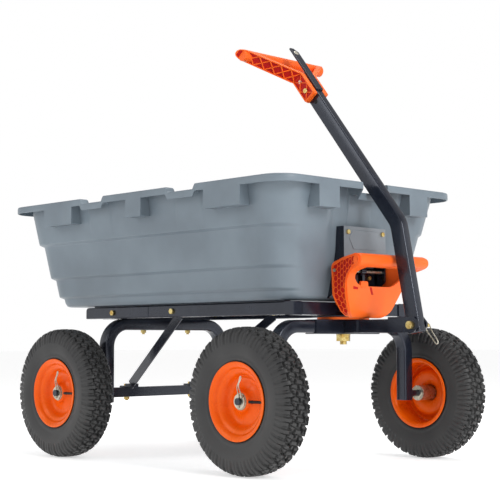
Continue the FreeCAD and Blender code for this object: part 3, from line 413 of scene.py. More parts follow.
def tyre_mesh():
    """One tyre round the Y axis. The tread's grooves are cut into the CAD tyre's envelope."""
    outer = [(33, 88), (35.5, 90), (37.4, 94), (38, 97), (37.4, 99), (39, 104), (40.7, 112),
             (41.7, 120), (42, 127), (41.9, 129.5), (41.9, 130.5), (41.6, 136), (40.9, 142),
             (39.6, 147.5)]
    tread = []
    count = 44
    for i in range(count + 1):
        across = 1 - 2 * i / count
        wide = 38.2 * math.copysign(abs(across) ** 0.9, across)
        drop = 3.2 * abs(across) ** 2 + 10.3 * abs(across) ** 6
        tread.append((wide, TYRE_RADIUS - drop, across))
    shoulder_depths = (0.28, 0.42, 0.62, 0.85)
    smooth, shoulder = outer[:-len(shoulder_depths)], outer[-len(shoulder_depths):]
    rows = [(y, r, None) for y, r in smooth]
    rows += [(y, r, 1.0) for y, r in shoulder]
    rows += tread
    rows += [(-y, r, -1.0) for y, r in reversed(shoulder)]
    rows += [(-y, r, None) for y, r in reversed(smooth)]
    rows += [(-30, 84, None), (30, 84, None)]
    around = TREAD_PITCHES * STEPS_PER_PITCH
    fade = dict(zip(shoulder, shoulder_depths))
    rings = []
    for y, r, across in rows:
        ring = []
        for i in range(around):
            angle = 2 * math.pi * i / around
            reach, side = r, y
            if across is not None:
                turn = i / STEPS_PER_PITCH
                low_end = (abs(y), r) in fade
                height = shoulder_height(turn) if low_end else tread_height(turn, across)
                depth = GROOVE_DEPTH * (1 - height) * fade.get((abs(y), r), 1.0)
                lean = ease(abs(across), 0.6, 1.0) * ease(abs(y), 37, 42)
                reach -= depth * (1 - lean)
                side -= math.copysign(depth * lean * 0.6, y)
            ring.append(Vector((reach * math.cos(angle), side, reach * math.sin(angle))) * MM)
        rings.append(ring)
    return Solid().rings(rings, capped=False, closed=True).mesh("tyre", 50)


def rim_mesh():
    """The pressed steel disc and barrel, turned about Y with its face towards +Y."""
    face = [
        (30.5, 79.5), (34, 80.5), (36, 84), (36.2, 87), (37.2, 88), (38, 87), (38, 85), (37, 82),
        (34.5, 77.5), (31.5, 74.3), (28, 73), (26.6, 71.5), (26, 69), (24.8, 65.5), (21.5, 61.5),
        (16, 58.2), (11, 55.6), (8.2, 53.4), (6.8, 51), (5.6, 48.5), (5.4, 45.5), (6.2, 42),
        (8.2, 36), (10.4, 31), (13.4, 27.6), (17, 25), (20.4, 23.3), (22.2, 21.6), (22.8, 19.6),
        (22, 19.05),
    ]
    back = [
        (18, 19.05), (12, 22.6), (7, 29), (3.2, 37), (2.2, 44), (2.6, 50), (5, 55), (10, 58.6),
        (16, 62.3), (20, 67), (22, 72), (21, 75), (-29, 75), (-33, 76.6), (-36.4, 79),
        (-38, 82.6), (-38, 86.6), (-37.2, 88), (-36.2, 87), (-36, 84), (-34, 80.5),
        (-30.5, 79.5),
    ]
    solid = Solid()
    turned(solid, Vector((0, 0, 0)), Y_AXIS, face + back, 96, closed=True)
    return solid.mesh("rim", 60)


def make_wheels():
    tyre = tyre_mesh()
    rim = rim_mesh()
    for end in ("front", "rear"):
        for side, word in ((1, "left"), (-1, "right")):
            name = f"{end}_{word}"
            body = name + "_wheel"
            low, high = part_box(name + "_tyre")
            centre = (low + high) / 2
            turn = Matrix.Rotation(0 if side > 0 else math.pi, 4, "Z")
            for kind, mesh, material, slot in (("tyre", tyre, RUBBER, "tyre_rubber"),
                                               ("rim", rim, RIM, "orange_rim")):
                obj = bpy.data.objects.new(f"{name}_{kind}_look", mesh.copy())
                obj.matrix_world = Matrix.Translation(centre) @ turn
                show(obj, body, material, [f"{name}_{kind}"])
            softened(name + "_hub", body, STEEL_AND_HOLE_LIGHT, 0.5)
            start, end_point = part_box(name + "_valve")
            middle = (start + end_point) / 2
            stem = [(0, 2.2), (1, 3.2), (9, 3.4), (9.2, 3.9), (11, 3.9), (11.4, 3.3),
                    (40, 3.3), (42, 3.9), (51, 3.9), (52, 3)]
            solid = Solid()
            turned(solid, Vector((start.x, middle.y, middle.z)), X_AXIS, stem, 20)
            piece(name + "_valve_look", solid, body, BLACK_RUBBER_AND_HOLE_SHADE,
                  [name + "_valve"])


def make_wheel_keepers():
    """Washers and the bent R-pins that hold the wheels on."""
    for end, body in (("front", "front_axle"), ("rear", "chassis")):
        softened(f"{end}_washers", body, STEEL_AND_HOLE_LIGHT, 0.4)
        low, high = station_box(f"{end}_axle_pins")
        axle_x = station_box(f"{end}_left_tyre")[0].x + TYRE_RADIUS
        foot = low.z + 1.8
        routes = []
        for y in (low.y + 1.8, high.y - 1.8):
            shape = [(0, 0), (0, 17), (0, 31), (-4, 42), (-3, 50), (3, 58), (5, 68), (9, 70.5),
                     (9.5, 64), (2, 55), (1, 46), (6, 37), (9.5, 30), (9, 22)]
            routes.append([at(axle_x + dx, y, foot + dz) for dx, dz in shape])
        wire(f"{end}_axle_pins_look", routes, 1.3, body, STEEL_AND_HOLE_LIGHT,
             [f"{end}_axle_pins"])


# ---------------------------------------------------------------- undercarriage
def make_rails():
    for kind in ("rear_rail", "front_rail"):
        for word in ("left", "right"):
            low, high = station_box(f"{kind}_{word}")
            corner = 9.0
            outline = [(low.x, low.z), (low.x, high.z)]
            if kind == "rear_rail":
                outline[1:] = [(low.x + corner - corner * math.cos(math.radians(a)),
                                high.z - corner + corner * math.sin(math.radians(a)))
                               for a in (0, 22, 45, 67, 90)]
            outline += [(high.x - 0.5, high.z), (high.x - 0.5, low.z)]
            solid = Solid().prism(outline, "y", low.y, high.y)
            piece(f"{kind}_{word}_look", solid, "chassis", BLACK,
                  [f"{kind}_{word}"], round_edges=2.6)


def axle_frame(name, body, node):
    """The bent square-tube frame over an axle."""
    low, high = station_box(node)
    side = 30.0
    x = (low.x + high.x) / 2
    leg = high.y - side / 2
    beam = high.z - side / 2
    points = [at(x, -leg, low.z), at(x, -leg, beam), at(x, leg, beam), at(x, leg, low.z)]
    solid = tube(Solid(), bent(points, 60, 14), X_AXIS, side, side, 4.0)
    piece(name, solid, body, BLACK, [node], sharp=40)


def make_undercarriage():
    make_rails()
    axle_frame("rear_axle_frame_look", "chassis", "rear_axle_frame")
    axle_frame("front_axle_frame_look", "front_axle", "front_axle_frame")
    for node, edge in (("front_cross_member", 2.0), ("rear_cross_member", 1.5),
                       ("hinge_tube", 0.8), ("corner_brackets", 1.4), ("rear_axle", 1.6),
                       ("brace_left", 1.0), ("brace_right", 1.0), ("kingpin_plate", 1.0),
                       ("latch_striker", 0.8), ("rail_sleeves", 0.3)):
        softened(node, "chassis", BLACK, edge)
    for node in ("front_spindles", "steering_saddle", "drawbar", "clevis_plates"):
        softened(node, "front_axle", BLACK, 1.2)
    softened("thrust_disc", "chassis", ORANGE, 0.8)
    for node in ("rail_bolts", "rear_frame_bolts", "axle_bolts", "kingpin"):
        softened(node, "chassis", ZINC, 0.7)
    make_wheel_keepers()


# ---------------------------------------------------------------- tow handle
LEAN = math.radians(38)
GRIP_PIVOT = (250, 0, 914.4)


def on_grip(x, y, z):
    """A point in the upper handle's axes: z runs up the tube from the grip pivot and x out
    of the tube's front face."""
    turned_x = x * math.cos(LEAN) - z * math.sin(LEAN)
    turned_z = x * math.sin(LEAN) + z * math.cos(LEAN)
    return at(GRIP_PIVOT[0] + turned_x, y, GRIP_PIVOT[2] + turned_z)


def make_handle():
    foot, knee = at(569, 0, 316), at(519, 0, 570)
    solid = tube(Solid(), bent([foot, knee, on_grip(0, 0, 52)], 60, 14), Y_AXIS, 24.4, 36, 3.4)
    piece("handle_tube_look", solid, "handle", BLACK, ["handle_tube"], sharp=40)
    # Near-black discs on the tube's sides: painted shade for the side holes.
    hole_shade = Solid()
    for side in (1, -1):
        turned(hole_shade, on_grip(0, side * 12.15, -36), Y_AXIS * side,
               [(0, 5.6), (0.3, 5.4), (0.3, 4.4), (0.12, 4.2)], 28)
    piece("handle_side_hole_shade", hole_shade, "handle", BLACK_RUBBER_AND_HOLE_SHADE)

    half, tip, chamfer, face = 12.2, 137.0, 12.0, 18.0
    outline = [(half, -chamfer), (half, tip - chamfer), (half - chamfer, tip), (-half, tip),
               (-half, -chamfer)]
    ear = Solid().rings([[on_grip(face + dx, y, z) for y, z in outline] for dx in (0, 5)])
    piece("hitch_ear_look", ear, "handle", BLACK, ["hitch_ear"],
          round_edges=1.2)
    # A bright steel disc over the hitch hole: painted light for the backdrop seen through it.
    bore = Solid()
    turned(bore, on_grip(face + 5.05, 0, tip - 17), on_grip(1, 0, 0) - on_grip(0, 0, 0),
           [(0, 6.8), (0.25, 6.4), (0.25, 5.6), (0.1, 5.4)], 28)
    piece("hitch_hole_light", bore, "handle", STEEL_AND_HOLE_LIGHT)
    softened("grip_bolt", "handle", ZINC, 1.2)
    softened("handle_pin", "handle_pin", ZINC, 1.2)
    x, z = 564, 333
    clip = [at(x, 40, z + 9), at(x, 40, z - 4), at(x, 40, z - 12), at(x + 10, 42, z - 24),
            at(x + 20, 42, z - 36), at(x + 27, 42, z - 44), at(x + 33, 42, z - 40),
            at(x + 27, 42, z - 29), at(x + 17, 43, z - 19), at(x + 9, 46, z - 10),
            at(x + 3, 47.5, z + 2)]
    wire("handle_clip_look", [clip], 1.4, "handle_pin", STEEL_AND_HOLE_LIGHT, ["handle_clip"])
    softened("lock_pin", "lock_pin", STEEL_AND_HOLE_LIGHT, 0.0)


LEG_LOW, LEG_HIGH = -24.0, 46.0
FLANK_Y, LEG_THICK = 23.8, 11.0
ARM_TOP, ARM_BACK, ARM_REACH, TIP_THICK = 150.0, 32.0, 150.0, 18.0
TIP_START = 134.0
ARM_HALF, ARM_TAPER = 18.0, 2.0


def tip_share(along):
    """How wide the arm still is where its end rounds off, as a share of its full width."""
    return math.sqrt(max(1 - (max(along - TIP_START, 0) / (ARM_TOP + 1 - TIP_START)) ** 2, 0.0))


def flank(side, along, across, lift):
    """A point on the grip's outer flank. along is the height from the pivot, across runs
    from -1 at the back edge to 1 at the front, and lift stands off the surface."""
    rise = ARM_TOP - LEG_HIGH
    share = max(along - LEG_HIGH, 0) / rise
    half = (ARM_HALF - ARM_TAPER * share) * tip_share(along)
    out = ARM_REACH - FLANK_Y
    norm = math.hypot(rise, out)
    push = (0, 1) if share == 0 else (-out / norm, rise / norm)
    return on_grip(-ARM_BACK * share + across * half,
                   side * (FLANK_Y + out * share + lift * push[1]),
                   along + lift * push[0])


def rib(solid, ends, wide, low, high, place):
    """A straight rib between two (along, across) ends on a surface that `place` gives."""
    start, finish = (Vector(end) for end in ends)
    run = finish - start
    scale = Vector((1.0, ARM_HALF))
    real = Vector((run.x * scale.x, run.y * scale.y))
    side = Vector((-real.y, real.x)).normalized() * wide / 2
    offset = Vector((side.x / scale.x, side.y / scale.y))
    steps = 3
    rings = []
    for i in range(steps + 1):
        middle = start + run * i / steps
        left, right = middle + offset, middle - offset
        rings.append([place(left.x, left.y, low), place(left.x, left.y, high),
                      place(right.x, right.y, high), place(right.x, right.y, low)])
    return solid.rings(rings)


def make_grip():
    """The orange pull: two arms and a bar, with a lattice of ribs over wells on each
    flank, whose floors are deep-red sheets of painted shade."""
    ends = [TIP_START, 139, 143, 146.5, 149, ARM_TOP]
    body = Solid()
    for side in (1, -1):
        rings = []
        for along in [LEG_LOW, LEG_HIGH] + ends:
            share = max(along - LEG_HIGH, 0) / (ARM_TOP - LEG_HIGH)
            half = (ARM_HALF - ARM_TAPER * share) * tip_share(along)
            outer = FLANK_Y + (ARM_REACH - FLANK_Y) * share
            inner = outer - LEG_THICK - (TIP_THICK - LEG_THICK) * share
            back = -ARM_BACK * share
            rings.append([on_grip(back + dx, side * y, along)
                          for dx, y in ((-half, inner), (half, inner), (half, outer),
                                        (-half, outer))])
        body.rings(rings)
    bar_end = ARM_REACH - TIP_THICK / 2
    turned(body, on_grip(-29, -bar_end, 136), Y_AXIS, [(0, 14.5), (2 * bar_end, 14.5)], 40)
    piece("grip_look", body, "grip", ORANGE, ["grip"], round_edges=1.8)
    low = LEG_LOW + 3
    stops = [low, 12, LEG_HIGH, 63, 80, 98, 116, TIP_START]
    heights = [low + (LEG_HIGH - low) * i / 8 for i in range(8)]
    heights += [LEG_HIGH + (TIP_START - LEG_HIGH) * i / 16 for i in range(16)] + ends[:-1]
    for side, word in ((1, "left"), (-1, "right")):
        def place(along, across, lift):
            return flank(side, along, across, lift)
        # A deep-red sheet just off each flank: painted shade in the wells between the ribs.
        grid = [[place(a, c, 0.35) for c in (-0.88, 0.88)] for a in heights]
        points = [p for pair in grid for p in pair]
        count = len(heights) - 1
        shaded_wells = Solid().add(points, [[2 * i, 2 * i + 1, 2 * i + 3, 2 * i + 2]
                                     for i in range(count)])
        piece(f"grip_well_shade_{word}", shaded_wells, "grip", RECESS_SHADE_RED)
        ribs = Solid()
        for start, end in zip(stops, stops[1:]):
            for way in (1, -1):
                rib(ribs, ((start, -0.86 * way), (end, 0.86 * way)), 2.0, 0, 2.7, place)
        border = stops + ends[1:-1]
        for edge in (-0.92, 0.92):
            for start, end in zip(border, border[1:]):
                rib(ribs, ((start, edge), (end, edge)), 2.8, 0, 3.2, place)
        for end in (border[0], border[-1]):
            rib(ribs, ((end, -0.93), (end, 0.93)), 2.8, 0, 3.2, place)
        piece(f"grip_ribs_{word}", ribs, "grip", ORANGE, round_edges=0.5)


# ---------------------------------------------------------------- tub
RIM_REAR, RIM_FRONT, RIM_HALF, RIM_TOP = -612.0, 451.0, 318.0, 668.0
RIM_CORNER, WALL_CORNER = 60.0, 75.0
FLOOR = 392.0
LEDGES = (416, 468, 560)
STEP = 9.0
SIDE_SLOPE, FRONT_SLOPE = 0.154, 0.245
SIDE_NOTCHES = ((-282, -192), (62, 160))
SIDE_BLOCKS = ((-443, -321), (-94, -35), (196, 319))
END_BLOCK = (127, 195)
SIDE_NOTCH_DEPTH, FRONT_NOTCH_DEPTH = 13, 22
FRONT_NOTCH_EDGE = (40, 44.5)
SKIRT, SIDE_BLOCK_DEPTH, END_BLOCK_DEPTH = 18.0, 63.0, 68.0
CORNER_STEPS = 14


def wall_outline(z):
    """Rear, front and half width of the tub wall's outside at a height."""
    grow = STEP * sum(ease(z, ledge - 4, ledge + 4) for ledge in LEDGES)
    rise = z - FLOOR
    return (-519 - grow - SIDE_SLOPE * rise, 362 + FRONT_SLOPE * rise,
            225 + grow + SIDE_SLOPE * rise)


def samples(low, high, edges, spacing=13.0):
    """Stations along one straight side, closer together at the edges of its features."""
    count = int((high - low) / spacing)
    marks = {round(low + (high - low) * i / count, 2) for i in range(count + 1)}
    for edge, reach, step in edges:
        steps = int(reach / step)
        marks |= {round(edge + step * i, 2) for i in range(-steps, steps + 1)}
    return sorted(m for m in marks if low <= m <= high)


def perimeter():
    """(side, value) all the way round the rim, where value is x, y or a corner's angle."""
    edges_x = [(e, 8, 1.6) for notch in SIDE_NOTCHES for e in notch]
    edges_x += [(e, 0.8, 0.4) for block in SIDE_BLOCKS for e in block]
    along = samples(RIM_REAR + RIM_CORNER, RIM_FRONT - RIM_CORNER, edges_x)
    half = RIM_HALF - RIM_CORNER
    edges_y = [(s * e, 0.8, 0.4) for e in END_BLOCK for s in (1, -1)]
    edges_y += [(s * 42, 4.8, 0.8) for s in (1, -1)]
    edges_y += [(s * 100, 26, 4) for s in (1, -1)]
    beside = samples(-half, half, edges_y)
    turns = [90.0 * i / CORNER_STEPS for i in range(1, CORNER_STEPS)]
    route = [("front", y) for y in beside] + [("corner0", a) for a in turns]
    route += [("left", x) for x in reversed(along)] + [("corner1", a) for a in turns]
    route += [("rear", y) for y in reversed(beside)] + [("corner2", a) for a in turns]
    route += [("right", x) for x in along] + [("corner3", a) for a in turns]
    return route


ROUTE = perimeter()


def squeeze(value, keep_low, keep_high, rim_low, rim_high, low, high):
    """A rim station moved onto a smaller outline: the middle stays, the ends close up."""
    if value > keep_high:
        return keep_high + (value - keep_high) / (rim_high - keep_high) * (high - keep_high)
    if value < keep_low:
        return keep_low + (value - keep_low) / (rim_low - keep_low) * (low - keep_low)
    return value


def notch_dip(side, value):
    """How far the rim dips at a station."""
    if side in ("left", "right"):
        return SIDE_NOTCH_DEPTH * max(ease(value, a - 5, a + 5) * (1 - ease(value, b - 5, b + 5))
                                      for a, b in SIDE_NOTCHES)
    if side == "front":
        return FRONT_NOTCH_DEPTH * (1 - ease(abs(value), *FRONT_NOTCH_EDGE))
    return 0.0


def skirt_depth(side, value):
    """How far the rim's outer face hangs down: a narrow skirt, and deep at the blocks."""
    if side in ("left", "right"):
        on_block = any(a - 0.1 < value < b + 0.1 for a, b in SIDE_BLOCKS)
        return SIDE_BLOCK_DEPTH if on_block else SKIRT
    if side in ("front", "rear"):
        on_block = END_BLOCK[0] - 0.1 < abs(value) < END_BLOCK[1] + 0.1
        return END_BLOCK_DEPTH if on_block else SKIRT
    return SKIRT


def alcove(y, z):
    """The front wall's hollow behind the handle, deeper towards the rim."""
    return max(z - 500, 0) * 0.17 * (1 - ease(abs(y), 84, 124))


def ring(rear, front, half, corner, height, hollow=False, nose=0.0):
    """One loop of the tub. height gives z for each (side, value) of the route, hollow adds
    the front alcove, and nose is how far the front notch sets the rim's edge back."""
    keep_x, keep_y = (-300.0, 190.0), 60.0
    rim_x = (RIM_REAR + RIM_CORNER, RIM_FRONT - RIM_CORNER)
    rim_y = RIM_HALF - RIM_CORNER
    centres = ((front - corner, half - corner), (rear + corner, half - corner),
               (rear + corner, -half + corner), (front - corner, -half + corner))
    points = []
    for side, value in ROUTE:
        z = height(side, value)
        if side in ("front", "rear"):
            y = squeeze(value, -keep_y, keep_y, -rim_y, rim_y, -half + corner, half - corner)
            x = front if side == "front" else rear
            if side == "front":
                x -= nose * (1 - ease(abs(value), *FRONT_NOTCH_EDGE))
                x -= alcove(y, z) if hollow else 0
        elif side in ("left", "right"):
            x = squeeze(value, *keep_x, *rim_x, rear + corner, front - corner)
            y = half if side == "left" else -half
        else:
            index = int(side[-1])
            angle = math.radians(90 * index + value)
            x = centres[index][0] + corner * math.cos(angle)
            y = centres[index][1] + corner * math.sin(angle)
        points.append(at(x, y, z))
    return points


def lowered(z):
    """Height of a wall or rim row, pulled down where the rim dips."""
    share = ease(z, 560, 650)
    return lambda side, value: z - notch_dip(side, value) * share


def hanging(offset):
    """Height of a row near the skirt's bottom edge, offset above it."""
    return lambda side, value: (RIM_TOP - notch_dip(side, value) - skirt_depth(side, value)
                                + offset)


def wall_ring(z, inset):
    """One loop of the wall, inset from its outside."""
    rear, front, half = wall_outline(z)
    return ring(rear + inset, front - inset, half - inset, WALL_CORNER - inset, lowered(z), True)


def rim_loop(inset, height):
    """One loop of the rim, inset from its outer edge."""
    return ring(RIM_REAR + inset, RIM_FRONT - inset, RIM_HALF - inset, RIM_CORNER - inset,
                height, nose=19.0)


def wall_heights(low, high):
    """Heights up the wall, close together over each ledge."""
    marks = [low, high]
    for ledge in LEDGES:
        marks += [ledge + d for d in (-5.5, -4, -2.5, -1, 1, 2.5, 4, 5.5)]
    marks += [432, 448, 490, 508, 526, 544, 582, 600, 618, 634, 648]
    return sorted(m for m in marks if low <= m <= high)


def make_tub():
    wall = 5.0
    thin = 3.4
    floor_rear, floor_front, floor_half = wall_outline(FLOOR)
    rings = []
    for inset, z in ((20, 397), (11, 398.5), (7, 402)):
        rings.append(ring(floor_rear + inset, floor_front - inset, floor_half - inset,
                          WALL_CORNER - inset, lowered(z)))
    rings += [wall_ring(z, wall) for z in wall_heights(409, 661)]
    rings += [wall_ring(665, wall - 0.3), wall_ring(667.3, wall - 1.6),
              wall_ring(RIM_TOP, wall - 4)]
    rings += [rim_loop(4.5, lowered(RIM_TOP)), rim_loop(1.6, lowered(667.2)),
              rim_loop(0.4, lowered(665.4)), rim_loop(0, lowered(662))]
    rings += [rim_loop(0, hanging(2.2)), rim_loop(0.5, hanging(0.6)), rim_loop(1.6, hanging(0)),
              rim_loop(thin - 0.4, hanging(0.3)), rim_loop(thin, hanging(1.6))]
    rings += [rim_loop(thin, lowered(663)), wall_ring(662.5, 0)]
    rings += [wall_ring(z, 0) for z in reversed(wall_heights(404, 660))]
    for inset, z in ((0.8, 398), (3.5, 394), (9, FLOOR)):
        rings.append(ring(floor_rear + inset, floor_front - inset, floor_half - inset,
                          WALL_CORNER - inset, lowered(z)))
    piece("tub_look", Solid().rings(rings), "tub", TUB, ["tub"], sharp=42)

    fill = Solid()
    for start, end in SIDE_BLOCKS:
        for side in (1, -1):
            outline = [(side * 316, 605.8), (side * 284, 605.8), (side * 293, 663),
                       (side * 316, 663)]
            fill.prism(outline, "x", start + 0.2, end - 0.2)
    for side in (1, -1):
        low, high = sorted((side * (END_BLOCK[0] + 0.2), side * (END_BLOCK[1] - 0.2)))
        fill.prism([(449, 600.8), (412, 600.8), (427, 663), (449, 663)], "y", low, high)
        fill.prism([(-610, 600.8), (-578, 600.8), (-587, 663), (-610, 663)], "y", low, high)
    piece("tub_blocks", fill, "tub", TUB, round_edges=0.8)


def make_tub_fittings():
    softened("hinge_straps", "tub", BLACK, 1.5)
    softened("tub_runners", "tub", BLACK, 1.5)
    plate = Solid().box((413, -75, 472), (417, 75, 566))
    plate.prism([(-44, 557), (44, 557), (58, 538), (43, 512), (-43, 512), (-58, 538)], "x",
                416.5, 418.2)
    piece("bracket_plate", plate, "tub", BRACKET, ["tub_bracket"],
          round_edges=1.0)
    flanges = Solid()
    for low, high in ((71, 75.4), (-75.4, -71)):
        outline = [(361.5, 397), (414, 436), (416.4, 440), (416.4, 565.5), (392, 565.5),
                   (387.5, 500), (382, 480)]
        flanges.prism(outline, "y", low, high)
    flanges.box((386, -66, 428), (389, 66, 470))
    flanges.box((400, -71, 480), (414, 71, 484))
    piece("bracket_flanges", flanges, "tub", BLACK, round_edges=0.8)
    softened("bracket_bolts", "tub", ZINC, 0.8)
    softened("lever_pin", "tub", STEEL_AND_HOLE_LIGHT, 0.6)
    bolt = Solid()
    turned(bolt, at(389, 44, 448), X_AXIS, [(0, 6), (4, 6), (5, 5)], 6)
    piece("latch_plate_bolt", bolt, "tub", ZINC, round_edges=0.5)


# ---------------------------------------------------------------- release lever
CHEEK = [(398, 452), (396, 472), (431, 484), (488, 492), (503, 486), (503, 477), (478, 469),
         (458, 453), (447, 436), (436, 400), (427, 366), (418, 356), (408, 356), (403, 377),
         (399, 420)]
CELL = 8.0
LEVER_PIVOT = (405, 461)
LEVER_BAR = (495, 481)
BAR_HALF, BAR_RADIUS = 122.0, 15


def inside(point, outline):
    """Whether a point is inside a polygon."""
    x, z = point
    crossed = False
    for (x1, z1), (x2, z2) in zip(outline, outline[1:] + outline[:1]):
        if (z1 > z) != (z2 > z) and x < (x2 - x1) * (z - z1) / (z2 - z1) + x1:
            crossed = not crossed
    return crossed


def along_line(value, marks):
    """Straight-line value between (position, value) marks."""
    for (a, first), (b, second) in zip(marks, marks[1:]):
        if value <= b:
            return first + (second - first) * (value - a) / (b - a)
    return marks[-1][1]


def cheek_out(x, z):
    """Distance of the lever's outer cheek from the middle plane."""
    plan = along_line(x, [(385, 92), (420, 96), (500, 122), (520, 122)])
    front = along_line(z, [(350, 52), (364, 72), (400, 92), (436, 106), (462, 122), (505, 122)])
    return min(plan, front)


def lever_shell():
    """The scoop: two cheeks, a front shield with a rounded window, and a round bar."""
    side_out = [(393, 449), (391, 478), (430, 489), (493, 497), (509, 489), (509, 473),
                (495, 466), (464, 456), (452, 436), (441, 400), (431, 362), (420, 351),
                (405, 351), (398, 375), (394, 420)]
    side_in = [(370, 335), (400, 335), (414, 358), (424, 366), (434, 402), (445, 438),
               (456, 458), (484, 466), (484, 515), (370, 515)]
    front = [(122, 505), (122, 462), (106, 436), (92, 400), (72, 364), (52, 350)]
    front += [(-y, z) for y, z in reversed(front)]
    plan_out = [(385, -92), (420, -96), (500, -122), (520, -122), (520, 122), (500, 122),
                (420, 96), (385, 92)]
    plan_in = [(375, -80), (410, -82), (500, -106), (525, -106), (525, 106), (500, 106),
               (410, 82), (375, 80)]
    window = [(-86, 466), (-86, 444), (-60, 424), (60, 424), (86, 444), (86, 466)]
    body = Solid().prism(rounded(side_out, 14), "y", -130, 130)
    trim = Solid().prism(rounded(front, 30), "x", 370, 530)
    cheeks = Solid().prism(plan_out, "z", 340, 512)
    hollow = carved("lever_hollow", Solid().prism(rounded(side_in, 12), "y", -131, 131),
                    ("INTERSECT", Solid().prism(plan_in, "z", 325, 525)))
    hollow_solid = Solid().add([v.co for v in hollow.vertices],
                               [list(f.vertices) for f in hollow.polygons])
    opening = Solid().prism(rounded(window, 16), "x", 426, 530)
    bar = Solid()
    end = [(0, 7), (1.5, 11), (5, 14), (9, BAR_RADIUS)]
    far_end = [(2 * BAR_HALF - out, radius) for out, radius in reversed(end)]
    turned(bar, at(LEVER_BAR[0], -BAR_HALF, LEVER_BAR[1]), Y_AXIS, end + far_end, 40)
    bore = Solid()
    turned(bore, at(LEVER_PIVOT[0], -150, LEVER_PIVOT[1]), Y_AXIS, [(0, 4.1), (300, 4.1)], 24)
    return carved("release_lever_look", body, ("INTERSECT", trim), ("INTERSECT", cheeks),
                  ("DIFFERENCE", hollow_solid), ("DIFFERENCE", opening), ("UNION", bar),
                  ("DIFFERENCE", bore))


def make_lever_details():
    """The small tab at the window's edge, and deep-red sheets of painted shade in the slots
    beside it.
    """
    tab = Solid().prism(rounded([(-54, 420), (-54, 436), (-28, 436), (-28, 420)], 6), "x",
                        442.5, 449.5)
    piece("lever_tab", tab, "release_lever", ORANGE, round_edges=1.2)
    slot_shade = Solid()
    for outline in ([(-22, 422), (-15, 422), (-3, 405), (-10, 405)],
                    [(-80, 424), (-62, 421), (-62, 416), (-78, 417)]):
        slot_shade.rings([[at(441.2 + (z - 400) * 0.305 + dx, y, z) for y, z in outline]
                     for dx in (-2, 0.35)])
    piece("lever_slot_shade", slot_shade, "release_lever", RECESS_SHADE_RED)


def make_lever():
    scoop = bpy.data.objects.new("release_lever_look", lever_shell())
    show(scoop, "release_lever", ORANGE, ["release_lever"], 2.6)
    make_lever_details()
    softened("latch_hook", "release_lever", BLACK, 0.8)
    for side, word in ((1, "left"), (-1, "right")):
        def place(x, z, lift):
            return at(x, side * (cheek_out(x, z) + lift), z)
        # A deep-red sheet just off each cheek: painted shade in the honeycomb wells.
        shaded_well = Solid()
        cell = 2.0
        for i in range(58):
            for j in range(72):
                x, z = 392 + i * cell, 352 + j * cell
                if inside((x + cell / 2, z + cell / 2), CHEEK):
                    corners = [(x, z), (x + cell, z), (x + cell, z + cell), (x, z + cell)]
                    shaded_well.add([place(a, b, 0.3) for a, b in corners], [[0, 1, 2, 3]])
        piece(f"lever_well_shade_{word}", shaded_well, "release_lever", RECESS_SHADE_RED)
        ribs = Solid()

        def strut(a, b, wide, high):
            run = Vector((b[0] - a[0], b[1] - a[1]))
            off = Vector((-run.y, run.x)).normalized() * wide / 2
            rings = []
            for share in (0, 0.5, 1):
                x, z = a[0] + run.x * share, a[1] + run.y * share
                rings.append([place(x + off.x, z + off.y, 0), place(x + off.x, z + off.y, high),
                              place(x - off.x, z - off.y, high), place(x - off.x, z - off.y, 0)])
            ribs.rings(rings)
        for column in range(-1, 11):
            for row in range(-1, 12):
                cx = 396 + column * CELL * 1.5
                cz = 352 + (row + 0.5 * (column % 2)) * CELL * math.sqrt(3)
                corner = [(cx + CELL * math.cos(math.radians(a)),
                           cz + CELL * math.sin(math.radians(a))) for a in (0, 60, 120, 180)]
                for a, b in zip(corner, corner[1:]):
                    if inside(((a[0] + b[0]) / 2, (a[1] + b[1]) / 2), CHEEK):
                        strut(a, b, 1.5, 1.6)
        for a, b in zip(CHEEK, CHEEK[1:] + CHEEK[:1]):
            strut(a, b, 3.2, 2.2)
        piece(f"lever_ribs_{word}", ribs, "release_lever", ORANGE,
              round_edges=0.4)


# ---------------------------------------------------------------- studio
HORIZON_TOP = 0.3
SKY_FADE = 0.3
SKY_LEVEL = 0.35


def make_floor():
    mesh = bpy.data.meshes.new("studio_floor")
    reach = 30.0
    mesh.from_pydata([(-reach, -reach, 0), (reach, -reach, 0), (reach, reach, 0),
                      (-reach, reach, 0)], [], [[0, 1, 2, 3]])
    floor = bpy.data.objects.new("studio_floor", mesh)
    bpy.context.scene.collection.objects.link(floor)
    paint = bpy.data.materials.new("studio_floor")
    paint.use_nodes = True
    shader = paint.node_tree.nodes["Principled BSDF"]
    shader.inputs["Base Color"].default_value = (0.9, 0.9, 0.9, 1)
    shader.inputs["Roughness"].default_value = 0.9
    shader.inputs["Emission Color"].default_value = (1, 1, 1, 1)
    shader.inputs["Emission Strength"].default_value = 0.5
    floor.data.materials.append(paint)


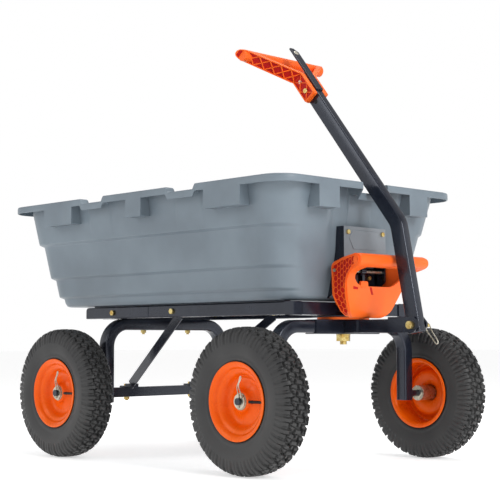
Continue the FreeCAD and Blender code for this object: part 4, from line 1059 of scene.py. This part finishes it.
def make_lights():
    """A white horizon under a dimmer sky, and four soft boxes."""
    world = bpy.data.worlds.new("studio")
    bpy.context.scene.world = world
    world.use_nodes = True
    tree = world.node_tree
    sky = tree.nodes["Background"]
    sky.inputs["Color"].default_value = (1, 1, 1, 1)
    split = tree.nodes.new("ShaderNodeSeparateXYZ")
    tree.links.new(tree.nodes.new("ShaderNodeTexCoord").outputs["Generated"],
                   split.inputs["Vector"])
    fall = tree.nodes.new("ShaderNodeMapRange")
    fall.inputs["From Min"].default_value = HORIZON_TOP
    fall.inputs["From Max"].default_value = HORIZON_TOP + SKY_FADE
    fall.inputs["To Min"].default_value = 1.0
    fall.inputs["To Max"].default_value = SKY_LEVEL
    tree.links.new(split.outputs["Z"], fall.inputs["Value"])
    tree.links.new(fall.outputs["Result"], sky.inputs["Strength"])
    focus = Vector((0, 0, 0.45))
    for name, place, power, size in (
        ("key", (3.2, -0.2, 1.8), 46, 1.2),
        ("side", (-1.2, -3.2, 2.2), 20, 1.6),
        ("top", (0.2, 0.4, 3.2), 44, 2.0),
        ("back", (-2.6, 2.4, 1.8), 20, 1.8),
    ):
        light = bpy.data.lights.new(name, "AREA")
        light.energy = power
        light.size = size
        lamp = bpy.data.objects.new(name, light)
        lamp.location = place
        lamp.rotation_mode = "QUATERNION"
        lamp.rotation_quaternion = (focus - Vector(place)).to_track_quat("-Z", "Y")
        bpy.context.scene.collection.objects.link(lamp)


def make_camera():
    """A low viewpoint in front of the cart's right corner."""
    heading, climb, roll = 2.372, math.radians(4.14), math.radians(-0.15)
    look = Vector((math.cos(heading) * math.cos(climb), math.sin(heading) * math.cos(climb),
                   math.sin(climb)))
    right = Vector((math.sin(heading), -math.cos(heading), 0))
    up = right.cross(look)
    lens = bpy.data.cameras.new("camera")
    lens.lens = 90.4
    lens.sensor_width = 36
    camera = bpy.data.objects.new("camera", lens)
    turn = Matrix((right, up, -look)).transposed().to_4x4()
    camera.matrix_world = (Matrix.Translation(at(2357.4, -2260.5, 298.1)) @ turn
                           @ Matrix.Rotation(roll, 4, "Z"))
    bpy.context.scene.collection.objects.link(camera)
    bpy.context.scene.camera = camera


make_floor()
make_lights()
make_camera()
bpy.context.scene.view_settings.view_transform = "Standard"
make_wheels()
make_undercarriage()
make_handle()
make_grip()
make_tub()
make_tub_fittings()
make_lever()
